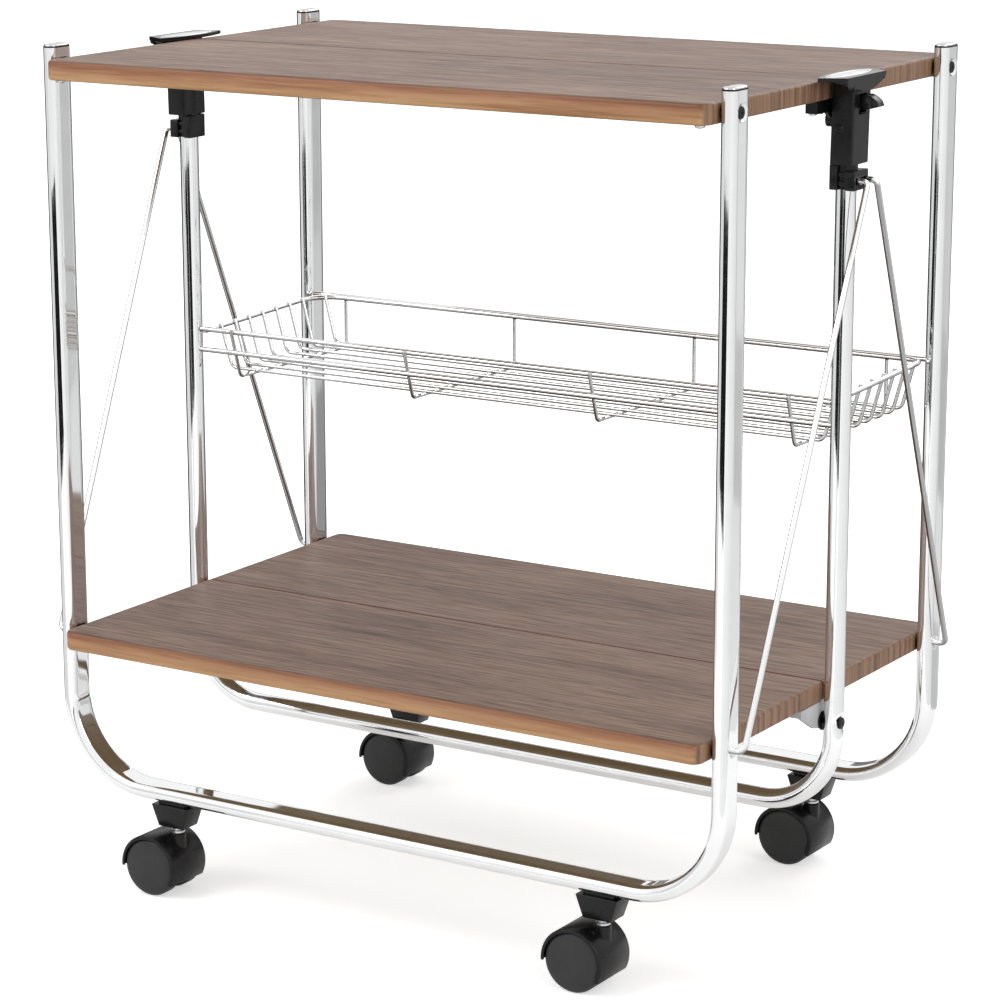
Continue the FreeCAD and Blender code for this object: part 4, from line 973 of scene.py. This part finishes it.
def slider(bm):
    box(bm, split_far, slider_out, -slider_half, slider_back, slider_low, slider_step, block_edge)
    sunk_slot(bm, hook_front, hook_rear, hook_low, hook_high, hook_depth)
    box(bm, slider_in, split_near, -slider_half, slider_half, slider_low, slider_high, block_edge)
    box(bm, web_in, web_out, web_front, web_rear, slider_low + web_lift, slider_step - web_drop,
        web_edge)
    for low, high in tooth_heights:
        box(bm, web_in, web_out, tooth_front, tooth_rear, low, high, web_edge)
    foot = slider_low + sleeve_lift
    turned(
        bm, [(0, foot), (sleeve_radius, foot), (sleeve_radius, slider_high), (0, slider_high)],
        (middle_x, 0, 0), (0, 0, 1))


both_ends(
    "slider_block", slider, ["{}_slider"], "black_plastic", black, body="{}_slide", smooth=35.0)


# Struts
# Chromed wire from the lower shelf's outer pivots up to the sliders, hooked in at both ends.
strut_root_x, strut_foot_x, strut_head_x, strut_tip_x = 290, 326, 332.3, 320
strut_radius, strut_bends, strut_head_y, strut_head_z = 2.4, (6, 4), (-4.5, 10.5), 617
bend_step = 5
wire, tree, shader = new_paint("chromed wire")
gloss = add_node(
    tree, "ShaderNodeGroup", {"Low": 0.10, "High": 0.16, "Scale": 60.0, "Waves": 0.004},
    node_tree=polish)
# Painted shade: the wire's colour is darker on its undersides and along its edges seen edge-on.
facing = add_node(tree, "ShaderNodeSeparateXYZ", {
    "Vector": add_node(tree, "ShaderNodeTexCoord").outputs["Normal"]})
upward = maths(tree, "MULTIPLY_ADD", facing.outputs["Z"], 0.5, 0.5)
underside = ramp(tree, upward, (0.05, 0.18), (0.38, 0.40), (0.52, 0.86), (0.8, 0.93))
painted_edge_shade = ramp(
    tree, add_node(tree, "ShaderNodeLayerWeight", {"Blend": 0.5}).outputs["Facing"],
    (0.55, 1.0), (0.95, 0.5))
feed(tree, shader, {
    "Metallic": 1.0, "Roughness": gloss.outputs["Roughness"],
    "Base Color": mixed_colour(tree, 1.0, underside, painted_edge_shade, "MULTIPLY")})


def wire_run(bm, points, radius, bends, sides=24):
    """Round wire through points, with a bend of its own radius at each inner one."""
    points = [Vector(point) for point in points]
    way = (points[1] - points[0]).normalized()
    verts = bmesh.ops.create_circle(bm, segments=sides, radius=radius)["verts"]
    bmesh.ops.rotate(bm, verts=verts, matrix=way.to_track_quat("Z", "Y").to_matrix())
    bmesh.ops.translate(bm, verts=verts, vec=points[0])
    ring = edges_of(verts)
    fill(bm, ring)
    here = points[0]
    for corner, after, bend in zip(points[1:], points[2:], bends):
        onward = (after - corner).normalized()
        angle = way.angle(onward)
        axis = way.cross(onward).normalized()
        start = corner - way * bend * math.tan(angle / 2)
        ring = pushed(bm, ring, *(start - here))
        centre = start + axis.cross(way) * bend
        degrees = math.degrees(angle)
        ring = swung(bm, ring, centre, axis, degrees, max(4, round(degrees / bend_step)))
        here = corner + onward * bend * math.tan(angle / 2)
        way = onward
    ring = pushed(bm, ring, *(points[-1] - here))
    fill(bm, ring)


def wired(name, bm, body, node):
    finished(name, bm, body, [node], "chrome_wire", wire, smooth=tube_smooth)


for (side, y), head_y in zip(frames, strut_head_y):
    for end, x in (("left", -1), ("right", 1)):
        bm = bmesh.new()
        wire_run(bm, [
            (x * strut_root_x, y, lower_pivot), (x * strut_foot_x, y, lower_pivot),
            (x * strut_head_x, head_y, strut_head_z), (x * strut_tip_x, head_y, strut_head_z)],
            strut_radius, strut_bends)
        wired(f"{side}_{end}_strut_wire", bm, f"{side}_{end}_stay", f"{side}_{end}_strut")


# Basket
# Chromed wire basket: a rear rail between the rear posts, a side rail bent round three sides,
# two rails between the middle posts, and thin wires along and across, all spot welded.
rail_radius, thin_radius = 2.25, 1.6
rear_rail_z, front_rail_z, pivot_rail_z, basket_floor = 448.5, 444, 426, 408
rim_x, rim_rear_y, left_rim_bend, right_rim_bend = 300.6, 170.5, 28, 12
rim_front_z, rim_rear_z = 442, 448.3
long_wires, long_first, long_pitch, wall_lean = 8, 21.5, 20.4, 9
cross_wires, cross_pitch, cross_z = 4, 179, 404.15
cross_lip_y, cross_lip_rise, cross_front_y, cross_rear_y = -4.3, 1.5, 8.5, 169.5
front_rail_x, lip_in, lip_rise, foot_in = 303.7, 2.4, 2.9, 4.8
long_bends, cross_bends, thin_sides = (7, 7), (5, 5), 16

bm = bmesh.new()
wire_run(bm, [(-post_x, post_y, rear_rail_z), (post_x, post_y, rear_rail_z)], rail_radius, ())
wire_run(
    bm, [(-front_rail_x, 0, front_rail_z), (front_rail_x, 0, front_rail_z)], rail_radius, ())
wire_run(bm, [
    (-rim_x, 0, rim_front_z), (-rim_x, rim_rear_y, rim_rear_z), (rim_x, rim_rear_y, rim_rear_z),
    (rim_x, 0, rim_front_z)], rail_radius, (left_rim_bend, right_rim_bend))
wired("basket_rails", bm, "basket", "basket_rim")
bm = bmesh.new()
wire_run(bm, [(-middle_x, 0, pivot_rail_z), (middle_x, 0, pivot_rail_z)], rail_radius, ())
wired("basket_pivot_rail", bm, "basket", "basket_pivot_wire")

bm = bmesh.new()
for index in range(long_wires):
    y = long_first + index * long_pitch
    rim_z = rim_front_z + (rim_rear_z - rim_front_z) * y / rim_rear_y
    ends = []
    for side, bend in ((-1, left_rim_bend), (1, right_rim_bend)):
        past_bend = max(0, y - (rim_rear_y - bend)) / bend
        reach = rim_x - bend * (1 - math.sqrt(1 - past_bend ** 2))
        lip = (side * (reach - lip_in), y, rim_z + lip_rise)
        ends.append((lip, (side * (reach - foot_in - wall_lean), y, basket_floor)))
    (left_lip, left_foot), (right_lip, right_foot) = ends
    wire_run(
        bm, [left_lip, left_foot, right_foot, right_lip], thin_radius, long_bends, thin_sides)
wired("basket_floor_wires", bm, "basket", "basket_long_wires")

bm = bmesh.new()
for index in range(cross_wires):
    x = cross_pitch * (index - (cross_wires - 1) / 2)
    wire_run(bm, [
        (x, cross_lip_y, front_rail_z + cross_lip_rise), (x, cross_front_y, cross_z),
        (x, cross_rear_y, cross_z), (x, cross_rear_y, rim_rear_z - rail_radius)],
        thin_radius, cross_bends, thin_sides)
wired("basket_bearers", bm, "basket", "basket_cross_wires")


# Castors
# Twin-wheel castors, alike on all four corners and trailing to the left. A black moulded hood
# with a narrow lip covers two slightly domed wheels, and a zinc-plated stem holds it.
wheel_radius, wheel_out, wheel_in = 25, 21.9, 7.5
hood_radius, hood_half, hood_open, hood_skin = 27.4, 23, 24.3, 1.5
hood_start, hood_sweep = 176, 212
boss_radius, boss_low, boss_top, boss_edge, castor_trail = 6.7, -8, 53.6, 0.7, 16
hub_bore, hub_radius, web_half, web_bore, web_radius = 2.6, 9, 6.8, 3, 26.4
stem_low, stem_top, stem_radius, stem_neck, stem_bore = 40, 75.2, 3.95, 3.6, 4.1
stem_edge, collar_radius, collar_edge, collar_height = 0.4, 5.8, 0.3, 2.3
wheel_recess = 3
wheel_back = ((23.4, 0), (24.6, 0.5), (25, 1.6))
wheel_front = (
    (25, -3.6), (24.6, -2.8), (23.9, -1.8), (23.0, -0.9), (21.6, -0.3), (20.0, -0.02),
    (17.5, 0.35), (13.0, 0.75), (8.0, 1.0), (3.5, 1.12), (0, 1.15))
wheel_black = moulded("wheel moulding", (0.036, 0.036, 0.037), 0.36, 2000.0, 0.10)


def drum_sector(bm, profile, hub):
    """Profile of (reach along Y, radius) swept round the hub as far as the hood goes."""
    spots = [bm.verts.new((-radius, along, 0)) for along, radius in profile]
    edges = [bm.edges.new(ends) for ends in zip(spots, spots[1:] + spots[:1])]
    fill(bm, edges)
    known = [v for v in bm.verts if v not in spots]
    made = bmesh.ops.spin(
        bm, geom=spots + edges, cent=(0, 0, 0), axis=(0, 1, 0), dvec=(0, 0, 0),
        angle=math.radians(hood_sweep), steps=64)["geom_last"]
    fill(bm, picked(made, bmesh.types.BMEdge))
    swept = [v for v in bm.verts if v not in known]
    bmesh.ops.rotate(
        bm, verts=swept, matrix=Matrix.Rotation(math.radians(hood_start - 180), 3, "Y"))
    bmesh.ops.translate(bm, verts=swept, vec=hub)


def hood(bm, hub):
    half, inner = hood_half, hood_radius - hood_skin
    side = [
        (half - 1.3, hood_open), (half - 0.5, hood_open - 0.1), (half, hood_open + 0.3),
        (half, hood_radius - 1.5), (half - 0.5, hood_radius - 0.6), (half - 1.6, hood_radius)]
    inward = [(half - 1.6, inner)]
    far_side = [(-along, radius) for along, radius in reversed(side)]
    under = [(-along, radius) for along, radius in inward]
    drum_sector(bm, side + far_side + under + inward, hub)
    drum_sector(bm, [
        (web_half, web_bore), (web_half, web_radius), (-web_half, web_radius),
        (-web_half, web_bore)], hub)
    turned(bm, [
        (hub_bore, -web_half), (hub_radius, -web_half), (hub_radius, web_half),
        (hub_bore, web_half)], hub, (0, 1, 0), closed=True)
    top = boss_top - wheel_radius
    turned(bm, [
        (stem_bore, boss_low), (boss_radius, boss_low), (boss_radius, top - boss_edge),
        (boss_radius - boss_edge, top), (stem_bore, top)],
        (hub[0] + castor_trail, hub[1], hub[2]), (0, 0, 1), closed=True)


def stem(bm, hub):
    foot = (hub[0] + castor_trail, hub[1], 0)
    collar_top = boss_top + collar_height
    turned(bm, [
        (0, stem_low), (stem_radius, stem_low), (stem_radius, boss_top), (5.6, boss_top),
        (collar_radius, boss_top + collar_edge), (collar_radius, collar_top - stem_edge),
        (5.5, collar_top - 0.1), (stem_bore, collar_top), (stem_bore, stem_top - stem_edge),
        (stem_neck, stem_top), (0, stem_top)], foot, (0, 0, 1))


def wheels(bm, hub):
    thick = wheel_out - wheel_in
    for side in (-1, 1):
        place = (hub[0], hub[1] + side * wheel_in, hub[2])
        turned(bm, [
            (hub_bore, 0), *wheel_back, *((radius, thick + rise) for radius, rise in wheel_front),
            (0, thick - wheel_recess), (hub_bore, thick - wheel_recess)],
            place, (0, side, 0), closed=True, steps=96)


castor_pieces = (
    (hood, "hood", "castor", "castor_hood", "black_plastic", black),
    (stem, "stem", "castor", "castor_stem", "zinc_steel", zinc),
    (wheels, "twin_wheels", "wheels", "castor_wheels", "wheel_plastic", wheel_black))
for side, y in frames:
    for end, x in (("left", -castor_x), ("right", castor_x)):
        corner = f"{side}_{end}"
        for build, piece, body, node, finish, paint in castor_pieces:
            bm = bmesh.new()
            build(bm, (x - castor_trail, y, wheel_radius))
            finished(
                f"{corner}_{piece}", bm, f"{corner}_{body}", [f"{corner}_{node}"], finish, paint)
        dressed(f"{corner}_castor_axle", zinc)
